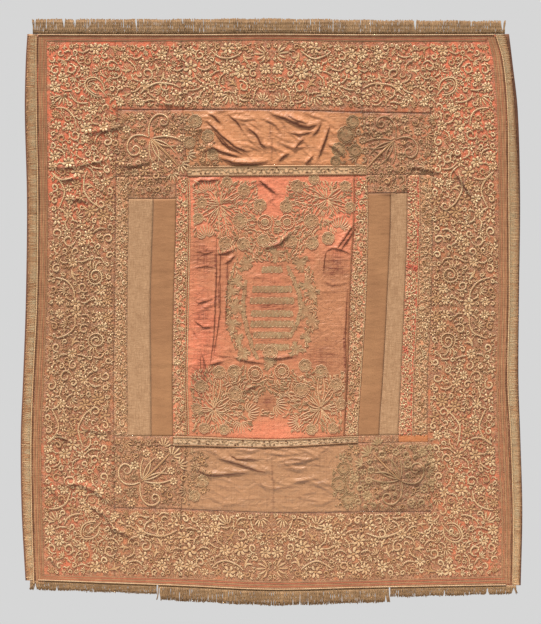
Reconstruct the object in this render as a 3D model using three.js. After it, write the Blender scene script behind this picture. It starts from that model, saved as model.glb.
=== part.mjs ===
// A fringed and embroidered Torah ark curtain, hanging flat from its top edge.
// Millimetres, +Z up, the front faces -Y. The origin is the middle of the top edge, behind the lining.
import * as THREE from "three";

// Driving dimensions
const LINING_THICK = 1.0;
const CLOTH_THICK = 1.2;
const GALLOON_THICK = 1.8;
const FRINGE_THICK = 2.0;
const GAP = 0.3; // between neighbouring pieces
const FRONT = LINING_THICK + GAP; // where the front pieces' backs lie
const HEADING_DEEP = 8; // woven heading that the free fringe hangs from
const LOCK_GAP = 1.3; // between two locks of fringe at their roots
const LOCK_TAPER = 0.9; // a lock's width at its tip, as a share of the width at its root
const LOCK_UNEVEN = 2.6; // how much the locks differ in length
const LOCK_LEAN = 2.2; // how far a lock's tip stands to one side
const LOCKS_TO_A_SWAY = 31; // locks from one leaning stretch to the next that leans the same way
const SCATTER = { turn: 12.9898, spread: 43758.5453 }; // large odd factors that scatter the locks

// Long lines down the curtain: x at each of LEVELS, and the number of columns up to the next line.
const LEVELS = [0, -85, -250, -540, -865, -1125, -1310, -1550, -1797];
const VERTICALS = [
  { line: "lining_left", columns: 1, x: [-795, -800, -803, -796, -800, -809, -816, -813, -800] },
  { line: "fringe_left", columns: 1, x: [-790, -794, -797, -790, -794, -803, -810, -807, -794] },
  { line: "cloth_left", columns: 1, x: [-765, -765, -764, -759, -763, -775, -781, -779, -772] },
  { line: "guard_left", columns: 3, x: [-731, -731, -730, -728, -731, -740, -749, -746, -738] },
  { line: "border_left", columns: 1, x: [-509, -507, -500, -507, -510, -514, -512, -510, -510] },
  { line: "lace_left", columns: 1, x: [-468, -468, -465, -466, -470, -470, -468, -468, -468] },
  { line: "linen_left", columns: 1, x: [-387, -387, -385, -385, -395, -393, -392, -392, -392] },
  { line: "tan_left", columns: 1, x: [-325, -322, -315, -311, -319, -323, -321, -325, -328] },
  { line: "brocade_left", columns: 5, x: [-296, -294, -289, -271, -276, -280, -276, -294, -299] },
  { line: "centre_right", columns: 1, x: [255, 256, 260, 270, 254, 247, 237, 244, 247] },
  { line: "brocade_right", columns: 1, x: [293, 293, 294, 312, 306, 290, 280, 289, 293] },
  { line: "tan_right", columns: 1, x: [367, 367, 372, 386, 374, 360, 348, 354, 356] },
  { line: "linen_right", columns: 1, x: [423, 423, 430, 440, 431, 419, 411, 416, 418] },
  { line: "red_right", columns: 1, x: [468, 468, 474, 482, 475, 462, 459, 465, 467] },
  { line: "border_right", columns: 3, x: [514, 514, 517, 522, 518, 506, 507, 514, 515] },
  { line: "guard_right", columns: 1, x: [696, 717, 730, 737, 736, 728, 731, 743, 744] },
  { line: "cloth_right", columns: 1, x: [725, 749, 764, 768, 769, 764, 774, 782, 781] },
  { line: "fringe_right", columns: 1, x: [757, 772, 787, 801, 799, 796, 803, 809, 803] },
  { line: "lining_right", columns: 0, x: [770, 780, 798, 806, 802, 800, 806, 813, 808] },
];

// Lines across the curtain: z at each of STATIONS, and the number of rows up to the next line.
const STATIONS = [-765, -294, 0, 294, 769];
const HORIZONTALS = [
  { line: "top_edge", rows: 1, z: [0, -1, 1, -1, 0] },
  { line: "guard_top", rows: 3, z: [-26, -23, -20, -25, -24] },
  { line: "seam_top", rows: 3, z: [-247, -247, -247, -255, -262] },
  { line: "galloon_top_upper", rows: 1, z: [-432, -430, -426, -426, -429] },
  { line: "galloon_top_lower", rows: 1, z: [-465, -463, -461, -458, -458] },
  { line: "strips_top", rows: 6, z: [-535, -535, -526, -518, -517] },
  { line: "strips_bottom", rows: 1, z: [-1308, -1307, -1316, -1305, -1297] },
  { line: "galloon_bottom_lower", rows: 3, z: [-1339, -1339, -1344, -1329, -1323] },
  { line: "seam_bottom", rows: 3, z: [-1534, -1544, -1555, -1553, -1550] },
  { line: "guard_bottom", rows: 1, z: [-1758, -1766, -1777, -1773, -1760] },
  { line: "bottom_edge", rows: 0, z: [-1775, -1793, -1805, -1799, -1791] },
];

// Broad swells that the whole curtain hangs in: centre, half widths and how far they stand forward.
const SWELLS = [
  { x: -800, z: -420, wide: 120, high: 420, forward: 7 },
  { x: -815, z: -1420, wide: 110, high: 300, forward: 9 },
  { x: 800, z: -250, wide: 130, high: 260, forward: 8 },
  { x: 810, z: -1200, wide: 120, high: 380, forward: 10 },
  { x: -560, z: -1560, wide: 130, high: 230, forward: 8 },
  { x: 0, z: -1810, wide: 330, high: 130, forward: 7 },
  { x: -90, z: -330, wide: 220, high: 110, forward: 6 },
  { x: 520, z: -560, wide: 110, high: 240, forward: 6 },
  { x: -230, z: -1050, wide: 120, high: 330, forward: 5 },
  { x: 230, z: -980, wide: 110, high: 360, forward: 6 },
  { x: 430, z: -1560, wide: 170, high: 150, forward: 5 },
];

// Main creases, as soft ridges of the front cloth: from, to, half width and height.
const CREASES = [
  { from: [-675, -1463], to: [-590, -1478], wide: 22, high: 5 },
  { from: [-590, -1478], to: [-526, -1526], wide: 22, high: 6 },
  { from: [-752, -1450], to: [-668, -1540], wide: 22, high: 4 },
  { from: [-597, -1527], to: [-522, -1600], wide: 22, high: 6 },
  { from: [-462, -1624], to: [-400, -1642], wide: 20, high: 4 },
  { from: [-748, -1645], to: [-715, -1732], wide: 22, high: 4 },
  { from: [-601, -322], to: [-496, -303], wide: 22, high: 5 },
  { from: [-702, -475], to: [-624, -466], wide: 22, high: 4 },
  { from: [-496, -434], to: [-421, -421], wide: 20, high: 5 },
  { from: [-664, -539], to: [-597, -548], wide: 22, high: 4 },
  { from: [-624, -1277], to: [-511, -1294], wide: 22, high: 4 },
  { from: [610, -471], to: [644, -523], wide: 22, high: 5 },
  { from: [483, -422], to: [562, -452], wide: 22, high: 5 },
  { from: [-205, -263], to: [-148, -340], wide: 17, high: 6 },
  { from: [-148, -340], to: [-65, -397], wide: 17, high: 7 },
  { from: [-221, -382], to: [-173, -366], wide: 17, high: 5 },
  { from: [-173, -366], to: [-86, -413], wide: 17, high: 8 },
  { from: [-81, -309], to: [-18, -366], wide: 17, high: 6 },
  { from: [28, -263], to: [70, -289], wide: 17, high: 6 },
  { from: [70, -289], to: [142, -299], wide: 17, high: 8 },
  { from: [179, -320], to: [150, -400], wide: 17, high: 7 },
  { from: [190, -366], to: [225, -395], wide: 17, high: 5 },
  { from: [-174, -1378], to: [-106, -1398], wide: 19, high: 6 },
  { from: [-106, -1398], to: [-18, -1419], wide: 19, high: 6 },
  { from: [-247, -1411], to: [-169, -1425], wide: 19, high: 5 },
  { from: [28, -1401], to: [168, -1372], wide: 19, high: 6 },
  { from: [49, -1466], to: [153, -1442], wide: 19, high: 5 },
  { from: [153, -1468], to: [200, -1487], wide: 19, high: 5 },
  { from: [-261, -492], to: [-187, -478], wide: 30, high: 5 },
  { from: [-62, -467], to: [3, -517], wide: 30, high: 7 },
  { from: [-20, -696], to: [58, -646], wide: 30, high: 6 },
  { from: [-179, -707], to: [-124, -697], wide: 30, high: 5 },
  { from: [-180, -650], to: [-187, -946], wide: 30, high: 4 },
  { from: [-187, -946], to: [-205, -1073], wide: 30, high: 4 },
  { from: [207, -698], to: [258, -628], wide: 30, high: 6 },
  { from: [-50, -880], to: [46, -892], wide: 30, high: 5 },
  { from: [-136, -1060], to: [-32, -1071], wide: 30, high: 4 },
];

// The sewn pieces: spans are [line, line, line, line], from and to down the curtain's lines and across them.
// fine is the number of steps that a crease needs inside each column and row.
const PIECES = [
  {
    name: "border_left",
    cloth: "border",
    fine: 2,
    spans: [["cloth_left", "border_left", "top_edge", "bottom_edge"]],
  },
  {
    name: "border_right",
    cloth: "border",
    fine: 1,
    spans: [["border_right", "cloth_right", "top_edge", "bottom_edge"]],
  },
  {
    name: "border_top_left",
    cloth: "border",
    fine: 1,
    spans: [["border_left", "brocade_left", "top_edge", "seam_top"]],
  },
  {
    name: "border_top_centre",
    cloth: "border",
    fine: 1,
    spans: [["brocade_left", "brocade_right", "top_edge", "seam_top"]],
  },
  {
    name: "border_top_right",
    cloth: "border",
    fine: 1,
    spans: [["brocade_right", "border_right", "top_edge", "seam_top"]],
  },
  {
    name: "border_bottom_left",
    cloth: "border",
    fine: 2,
    spans: [["border_left", "brocade_left", "seam_bottom", "bottom_edge"]],
  },
  {
    name: "border_bottom_centre",
    cloth: "border",
    fine: 1,
    spans: [["brocade_left", "brocade_right", "seam_bottom", "bottom_edge"]],
  },
  {
    name: "border_bottom_right",
    cloth: "border",
    fine: 1,
    spans: [["brocade_right", "border_right", "seam_bottom", "bottom_edge"]],
  },
  {
    name: "field_top_left",
    cloth: "border",
    fine: 2,
    spans: [
      ["border_left", "brocade_left", "seam_top", "galloon_top_lower"],
      ["lace_left", "tan_left", "galloon_top_lower", "strips_top"],
    ],
  },
  {
    name: "field_top_centre",
    cloth: "satin",
    fine: 3,
    spans: [["brocade_left", "brocade_right", "seam_top", "galloon_top_upper"]],
  },
  {
    name: "field_top_right",
    cloth: "border",
    fine: 2,
    spans: [
      ["brocade_right", "border_right", "seam_top", "galloon_top_lower"],
      ["brocade_right", "linen_right", "galloon_top_lower", "strips_top"],
    ],
  },
  {
    name: "field_bottom_left",
    cloth: "border",
    fine: 2,
    spans: [
      ["border_left", "brocade_left", "galloon_bottom_lower", "seam_bottom"],
      ["border_left", "tan_left", "strips_bottom", "galloon_bottom_lower"],
    ],
  },
  {
    name: "field_bottom_centre",
    cloth: "satin",
    fine: 3,
    spans: [["brocade_left", "brocade_right", "galloon_bottom_lower", "seam_bottom"]],
  },
  {
    name: "field_bottom_right",
    cloth: "border",
    fine: 1,
    spans: [
      ["brocade_right", "border_right", "galloon_bottom_lower", "seam_bottom"],
      ["brocade_right", "linen_right", "strips_bottom", "galloon_bottom_lower"],
    ],
  },
  {
    name: "lace_left",
    cloth: "brocade",
    fine: 1,
    spans: [["border_left", "lace_left", "galloon_top_lower", "strips_bottom"]],
  },
  {
    name: "linen_left",
    cloth: "linen",
    fine: 1,
    spans: [["lace_left", "linen_left", "strips_top", "strips_bottom"]],
  },
  {
    name: "tan_left",
    cloth: "tan",
    fine: 1,
    spans: [["linen_left", "tan_left", "strips_top", "strips_bottom"]],
  },
  {
    name: "brocade_left",
    cloth: "brocade",
    fine: 1,
    spans: [["tan_left", "brocade_left", "galloon_top_lower", "strips_bottom"]],
  },
  {
    name: "centre_panel",
    cloth: "centre",
    fine: 2,
    spans: [["brocade_left", "centre_right", "galloon_top_lower", "strips_bottom"]],
  },
  {
    name: "brocade_right",
    cloth: "brocade",
    fine: 1,
    spans: [["centre_right", "brocade_right", "galloon_top_lower", "strips_bottom"]],
  },
  {
    name: "tan_right",
    cloth: "tan",
    fine: 1,
    spans: [["brocade_right", "tan_right", "strips_top", "strips_bottom"]],
  },
  {
    name: "linen_right",
    cloth: "linen",
    fine: 1,
    spans: [["tan_right", "linen_right", "strips_top", "strips_bottom"]],
  },
  {
    name: "red_right",
    cloth: "red",
    fine: 1,
    spans: [["linen_right", "red_right", "galloon_top_lower", "strips_bottom"]],
  },
  {
    name: "grey_right",
    cloth: "brocade",
    fine: 1,
    spans: [["red_right", "border_right", "galloon_top_lower", "strips_bottom"]],
  },
  {
    name: "slip_right",
    cloth: "satin",
    fine: 1,
    spans: [["linen_right", "border_right", "strips_bottom", "galloon_bottom_lower"]],
  },
];
const GALLOONS = [
  { name: "galloon_top", span: ["brocade_left", "brocade_right", "galloon_top_upper", "galloon_top_lower"] },
  { name: "galloon_bottom", span: ["tan_left", "brocade_right", "strips_bottom", "galloon_bottom_lower"] },
];
const SIDE_FRINGES = [
  { name: "fringe_left", span: ["fringe_left", "cloth_left", "top_edge", "bottom_edge"] },
  { name: "fringe_right", span: ["cloth_right", "fringe_right", "top_edge", "bottom_edge"] },
];

// Free fringe: the edge it is sewn to, which way it points, where it runs and how far its locks reach.
const FREE_FRINGES = [
  { name: "fringe_top", edge: "top_edge", way: 1, from: -777, to: 756, locks: 90, reach: [48, 49, 40] },
  { name: "fringe_bottom_left", edge: "bottom_edge", way: -1, from: -786, to: -375, locks: 24, reach: [30, 29, 29] },
  { name: "fringe_bottom_centre", edge: "bottom_edge", way: -1, from: -370, to: 379, locks: 44, reach: [48, 50, 48] },
  { name: "fringe_bottom_right", edge: "bottom_edge", way: -1, from: 384, to: 793, locks: 24, reach: [31, 30, 27] },
];

const FINISHES = {
  border: { color: 0xb4805c, roughness: 0.6, metalness: 0.1 },
  satin: { color: 0xc98b63, roughness: 0.4, metalness: 0 },
  centre: { color: 0xd0876a, roughness: 0.45, metalness: 0 },
  tan: { color: 0xb47f56, roughness: 0.75, metalness: 0 },
  linen: { color: 0xbc906b, roughness: 0.85, metalness: 0 },
  brocade: { color: 0xba8c68, roughness: 0.6, metalness: 0.1 },
  red: { color: 0xc98266, roughness: 0.6, metalness: 0.1 },
  galloon: { color: 0xb98f6a, roughness: 0.5, metalness: 0.3 },
  fringe: { color: 0x9b7b5e, roughness: 0.55, metalness: 0.3 },
  side_fringe: { color: 0xb08a66, roughness: 0.55, metalness: 0.3 },
  lining: { color: 0x7a4a2a, roughness: 0.9, metalness: 0 },
};

// A smooth curve through the values at the knots, which may run up or down.
function through(knots, values, at) {
  const falling = knots[1] < knots[0];
  const before = (a, b) => (falling ? a > b : a < b);
  let k = 0;
  while (k < knots.length - 2 && before(knots[k + 1], at)) k += 1;
  const slope = (i) => {
    const a = Math.max(i - 1, 0);
    const b = Math.min(i + 1, knots.length - 1);
    return (values[b] - values[a]) / (knots[b] - knots[a]);
  };
  const step = knots[k + 1] - knots[k];
  const t = Math.min(1, Math.max(0, (at - knots[k]) / step));
  const eased = t * t * (3 - 2 * t);
  const bend = slope(k) * step * t * (1 - t) * (1 - t) - slope(k + 1) * step * t * t * (1 - t);
  return values[k] + (values[k + 1] - values[k]) * eased + bend;
}

// The index of each named line among all the columns' or rows' edges, and the line that each edge is near.
function spread(lines, counted) {
  const index = {};
  const edges = [];
  for (const [at, row] of lines.entries()) {
    index[row.line] = edges.length;
    for (let step = 0; step < Math.max(1, row[counted]); step += 1) {
      edges.push({ at, share: row[counted] ? step / row[counted] : 0 });
    }
  }
  return { index, edges };
}
const columns = spread(VERTICALS, "columns");
const rows = spread(HORIZONTALS, "rows");

function between(lines, edge, knots, key, at) {
  const here = through(knots, lines[edge.at][key], at);
  if (!edge.share) return here;
  return here + (through(knots, lines[edge.at + 1][key], at) - here) * edge.share;
}
const xAt = (i, z) => between(VERTICALS, columns.edges[i], LEVELS, "x", z);
const zAt = (j, x) => between(HORIZONTALS, rows.edges[j], STATIONS, "z", x);

// How far the whole curtain stands forward at a place.
function swell(x, z) {
  return SWELLS.reduce(
    (sum, s) => sum + s.forward * Math.exp(-(((x - s.x) / s.wide) ** 2) - ((z - s.z) / s.high) ** 2),
    0,
  );
}

// How far the front cloth is lifted off the lining by its creases.
function ridge(x, z) {
  let lift = 0;
  for (const c of CREASES) {
    const [dx, dz] = [c.to[0] - c.from[0], c.to[1] - c.from[1]];
    const along = ((x - c.from[0]) * dx + (z - c.from[1]) * dz) / (dx * dx + dz * dz);
    const held = Math.min(1, Math.max(0, along));
    const off = Math.hypot(x - c.from[0] - held * dx, z - c.from[1] - held * dz);
    lift = Math.max(lift, c.high * Math.exp(-((off / c.wide) ** 2)));
  }
  return lift;
}

// The corner of a column's edge and a row's edge, with the swell as its forward distance.
const corners = new Map();
function corner(i, j) {
  const key = i + "," + j;
  if (!corners.has(key)) {
    let x = xAt(i, zAt(j, 0));
    const z = zAt(j, x);
    x = xAt(i, z);
    corners.set(key, { x, z, forward: swell(x, z) });
  }
  return corners.get(key);
}

const mix = (a, b, c, s, t) => ({
  x: a.x + s * (b.x - a.x) + t * (c.x - b.x),
  z: a.z + s * (b.z - a.z) + t * (c.z - b.z),
  forward: a.forward + s * (b.forward - a.forward) + t * (c.forward - b.forward),
});

// A point inside a cell, on the flat triangle that the lining has there too.
function inside(u, v) {
  const i = Math.min(Math.floor(u), columns.edges.length - 2);
  const j = Math.min(Math.floor(v), rows.edges.length - 2);
  const [s, t] = [u - i, v - j];
  const [a, c] = [corner(i, j), corner(i + 1, j + 1)];
  if (t >= s) return mix(a, corner(i, j + 1), c, t, s);
  return mix(a, corner(i + 1, j), c, s, t);
}

// A sheet over the cells of some spans, as one closed solid. back is how far its back stands off y = 0.
// The creases lift it inside its sewn edges.
function sheet(spans, fine, back, thick, lifted) {
  const cells = new Set();
  for (const [left, right, top, bottom] of spans) {
    for (let i = columns.index[left] * fine; i < columns.index[right] * fine; i += 1) {
      for (let j = rows.index[top] * fine; j < rows.index[bottom] * fine; j += 1) cells.add(i + "," + j);
    }
  }
  const has = (i, j) => (cells.has(i + "," + j) ? 1 : 0);
  const points = [];
  const known = new Map();
  const point = (i, j) => {
    const key = i + "," + j;
    if (!known.has(key)) {
      const p = inside(i / fine, j / fine);
      const right = has(i, j) + has(i, j - 1) - has(i - 1, j) - has(i - 1, j - 1);
      const down = has(i, j) + has(i - 1, j) - has(i, j - 1) - has(i - 1, j - 1);
      const x = p.x + (Math.sign(right) * GAP) / 2;
      const z = p.z - (Math.sign(down) * GAP) / 2;
      const sewn = has(i, j) + has(i - 1, j) + has(i, j - 1) + has(i - 1, j - 1) < 4;
      const y = back + p.forward + (lifted && !sewn ? ridge(p.x, p.z) : 0);
      known.set(key, points.length / 3);
      points.push(x, -y, z, x, -(y + thick), z);
    }
    return known.get(key);
  };
  const faces = [];
  const rim = (p, q) => faces.push(q + 1, p + 1, p, q + 1, p, q);
  for (const key of cells) {
    const [i, j] = key.split(",").map(Number);
    const [a, b, c, d] = [point(i, j), point(i + 1, j), point(i + 1, j + 1), point(i, j + 1)];
    faces.push(a + 1, d + 1, c + 1, a + 1, c + 1, b + 1);
    faces.push(a, c, d, a, b, c);
    if (!has(i - 1, j)) rim(a, d);
    if (!has(i, j + 1)) rim(d, c);
    if (!has(i + 1, j)) rim(c, b);
    if (!has(i, j - 1)) rim(b, a);
  }
  return solid(points, faces);
}

function solid(points, faces) {
  const geometry = new THREE.BufferGeometry();
  geometry.setAttribute("position", new THREE.Float32BufferAttribute(points, 3));
  geometry.setIndex(faces);
  geometry.computeVertexNormals();
  return geometry;
}

// A steady number from -0.5 to 0.5 for each lock, so that the fringe is uneven in the same way each time.
function uneven(lock) {
  const turned = Math.sin(lock * SCATTER.turn) * SCATTER.spread;
  return turned - Math.floor(turned) - 0.5;
}

// Fringe on its heading: a strip along the edge with a lock for each pitch, standing apart from the next.
function freeFringe({ edge, way, from, to, locks, reach }) {
  const row = rows.index[edge];
  const pitch = (to - from) / locks;
  const points = [];
  const add = (x, off) => {
    const z = zAt(row, x) + way * (GAP + off);
    const y = FRONT + swell(x, zAt(row, x));
    points.push(x, -y, z, x, -(y + FRINGE_THICK), z);
    return points.length / 3 - 2;
  };
  const faces = [];
  const quad = (a, b, c, d) => {
    const [p, q, r, s] = way > 0 ? [a, b, c, d] : [d, c, b, a];
    faces.push(p + 1, q + 1, r + 1, p + 1, r + 1, s + 1);
    faces.push(p, r, q, p, s, r);
  };
  const wall = (a, b) => {
    const [p, q] = way > 0 ? [a, b] : [b, a];
    faces.push(q + 1, p + 1, p, q + 1, p, q);
  };
  let seam = add(from, 0);
  let root = add(from, HEADING_DEEP);
  wall(root, seam);
  for (let n = 0; n < locks; n += 1) {
    const share = (n + 0.5) / locks;
    const long = through([0, 0.5, 1], reach, share) + 2 * LOCK_UNEVEN * uneven(n + from);
    const sway = Math.sin((2 * Math.PI * n) / LOCKS_TO_A_SWAY);
    const lean = LOCK_LEAN * (uneven(n - from) + sway);
    const left = from + n * pitch;
    const right = left + pitch - LOCK_GAP;
    const middle = (left + right) / 2 + lean;
    const half = ((right - left) / 2) * LOCK_TAPER;
    const last = n === locks - 1;
    const seamRight = add(last ? to : right, 0);
    const rootRight = add(last ? to : right, HEADING_DEEP);
    const tipLeft = add(middle - half, long);
    const tipRight = add(middle + half, long);
    quad(seam, seamRight, rootRight, root);
    wall(seam, seamRight);
    quad(root, rootRight, tipRight, tipLeft);
    wall(rootRight, tipRight);
    wall(tipRight, tipLeft);
    wall(tipLeft, root);
    [seam, root] = [seamRight, rootRight];
    if (!last) {
      const seamNext = add(left + pitch, 0);
      const rootNext = add(left + pitch, HEADING_DEEP);
      quad(seam, seamNext, rootNext, root);
      wall(seam, seamNext);
      wall(rootNext, root);
      [seam, root] = [seamNext, rootNext];
    }
  }
  wall(seam, root);
  return solid(points, faces);
}

const curtain = new THREE.Group();
function place(name, geometry, finish) {
  const mesh = new THREE.Mesh(geometry, new THREE.MeshStandardMaterial(FINISHES[finish]));
  mesh.name = name;
  curtain.add(mesh);
}

const LINING_SPAN = ["lining_left", "lining_right", "top_edge", "bottom_edge"];
place("lining", sheet([LINING_SPAN], 1, 0, LINING_THICK, false), "lining");
for (const { name, cloth, fine, spans } of PIECES) {
  place(name, sheet(spans, fine, FRONT, CLOTH_THICK, fine > 1), cloth);
}
for (const { name, span } of GALLOONS) {
  place(name, sheet([span], 1, FRONT, GALLOON_THICK, false), "galloon");
}
for (const { name, span } of SIDE_FRINGES) {
  place(name, sheet([span], 1, FRONT, FRINGE_THICK, false), "side_fringe");
}
for (const row of FREE_FRINGES) place(row.name, freeFringe(row), "fringe");

export default curtain;
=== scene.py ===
# An embroidered Torah ark curtain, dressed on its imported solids. Sizes are in mm until a mesh is made.
import math

import bpy
import numpy as np
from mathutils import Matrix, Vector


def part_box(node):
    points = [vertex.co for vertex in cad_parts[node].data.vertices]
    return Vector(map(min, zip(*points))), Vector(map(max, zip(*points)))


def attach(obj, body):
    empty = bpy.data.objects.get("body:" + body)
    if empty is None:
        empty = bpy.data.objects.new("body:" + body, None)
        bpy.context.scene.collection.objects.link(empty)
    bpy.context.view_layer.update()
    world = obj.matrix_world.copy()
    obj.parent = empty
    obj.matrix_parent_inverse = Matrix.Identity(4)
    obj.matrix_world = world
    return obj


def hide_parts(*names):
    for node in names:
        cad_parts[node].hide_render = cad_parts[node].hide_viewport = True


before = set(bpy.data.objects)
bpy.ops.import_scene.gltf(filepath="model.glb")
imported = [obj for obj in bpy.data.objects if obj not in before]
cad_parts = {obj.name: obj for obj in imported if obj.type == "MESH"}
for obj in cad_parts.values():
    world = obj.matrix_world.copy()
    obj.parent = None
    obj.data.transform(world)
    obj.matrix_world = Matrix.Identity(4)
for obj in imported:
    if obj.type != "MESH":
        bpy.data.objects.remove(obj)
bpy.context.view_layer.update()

MM = 0.001
LINING_THICK = 1.0
CLOTH_THICK = 1.2
GALLOON_THICK = 1.8
GAP = 0.3
FRONT = LINING_THICK + GAP
HEADING_DEEP = 8
LATTICE = 2.5  # spacing of the points that hold the cloth's relief
COARSE = 3  # steps of a sheet's face to one step of its back

FRAME_HIGH = 624  # the picture's height in pixels
MM_PER_PIXEL = 3.25
DISTANCE = 8000  # from the camera to the curtain
VIEW_X, VIEW_Z = -5, -903
SENSOR_HIGH = 24.0
AMBIENT = 0.55
SUN_POWER, SUN_DEGREES = 4.6, 9
SUN_FROM, SUN_AT = (-0.9, -1.5, 2.9), (0, 0, -0.9)  # metres
FLOOR = [(-1.6, -1.0, -2.1), (1.6, -1.0, -2.1), (1.6, 1.3, -2.1), (-1.6, 1.3, -2.1)]  # metres

SEEDS = {"wrinkles": 11, "border": 4, "fields": 8, "centre": 21, "strips": 33, "galloons": 45}

# Long lines down the curtain, at each of LEVELS, and lines across it, at each of STATIONS.
LEVELS = [0, -85, -250, -540, -865, -1125, -1310, -1550, -1797]
DOWN = {
    "lining_left": [-795, -800, -803, -796, -800, -809, -816, -813, -800],
    "fringe_left": [-790, -794, -797, -790, -794, -803, -810, -807, -794],
    "cloth_left": [-765, -765, -764, -759, -763, -775, -781, -779, -772],
    "guard_left": [-731, -731, -730, -728, -731, -740, -749, -746, -738],
    "border_left": [-509, -507, -500, -507, -510, -514, -512, -510, -510],
    "lace_left": [-468, -468, -465, -466, -470, -470, -468, -468, -468],
    "linen_left": [-387, -387, -385, -385, -395, -393, -392, -392, -392],
    "tan_left": [-325, -322, -315, -311, -319, -323, -321, -325, -328],
    "brocade_left": [-296, -294, -289, -271, -276, -280, -276, -294, -299],
    "centre_right": [255, 256, 260, 270, 254, 247, 237, 244, 247],
    "brocade_right": [293, 293, 294, 312, 306, 290, 280, 289, 293],
    "tan_right": [367, 367, 372, 386, 374, 360, 348, 354, 356],
    "linen_right": [423, 423, 430, 440, 431, 419, 411, 416, 418],
    "red_right": [468, 468, 474, 482, 475, 462, 459, 465, 467],
    "border_right": [514, 514, 517, 522, 518, 506, 507, 514, 515],
    "guard_right": [696, 717, 730, 737, 736, 728, 731, 743, 744],
    "cloth_right": [725, 749, 764, 768, 769, 764, 774, 782, 781],
    "fringe_right": [757, 772, 787, 801, 799, 796, 803, 809, 803],
    "lining_right": [770, 780, 798, 806, 802, 800, 806, 813, 808],
}
STATIONS = [-765, -294, 0, 294, 769]
ACROSS = {
    "top_edge": [0, -1, 1, -1, 0],
    "guard_top": [-26, -23, -20, -25, -24],
    "seam_top": [-247, -247, -247, -255, -262],
    "galloon_top_upper": [-432, -430, -426, -426, -429],
    "galloon_top_lower": [-465, -463, -461, -458, -458],
    "strips_top": [-535, -535, -526, -518, -517],
    "strips_bottom": [-1308, -1307, -1316, -1305, -1297],
    "galloon_bottom_lower": [-1339, -1339, -1344, -1329, -1323],
    "seam_bottom": [-1534, -1544, -1555, -1553, -1550],
    "guard_bottom": [-1758, -1766, -1777, -1773, -1760],
    "bottom_edge": [-1775, -1793, -1805, -1799, -1791],
}
MIDDLE = -890  # the height that the border's design is mirrored about

# Broad swells of the whole curtain: centre, half widths and how far they stand forward.
SWELLS = [
    (-800, -420, 120, 420, 7), (-815, -1420, 110, 300, 9), (800, -250, 130, 260, 8),
    (810, -1200, 120, 380, 10), (-560, -1560, 130, 230, 8), (0, -1810, 330, 130, 7),
    (-90, -330, 220, 110, 6), (520, -560, 110, 240, 6), (-230, -1050, 120, 330, 5),
    (230, -980, 110, 360, 6), (430, -1560, 170, 150, 5),
]

UPPER_SIDE, LOWER_SIDE = 1.25, 0.6  # widths of a crease's gentle and steep sides, to its own half width
FOOT = 0.62  # how far out a crease's foot lies, to its own half width
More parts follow.
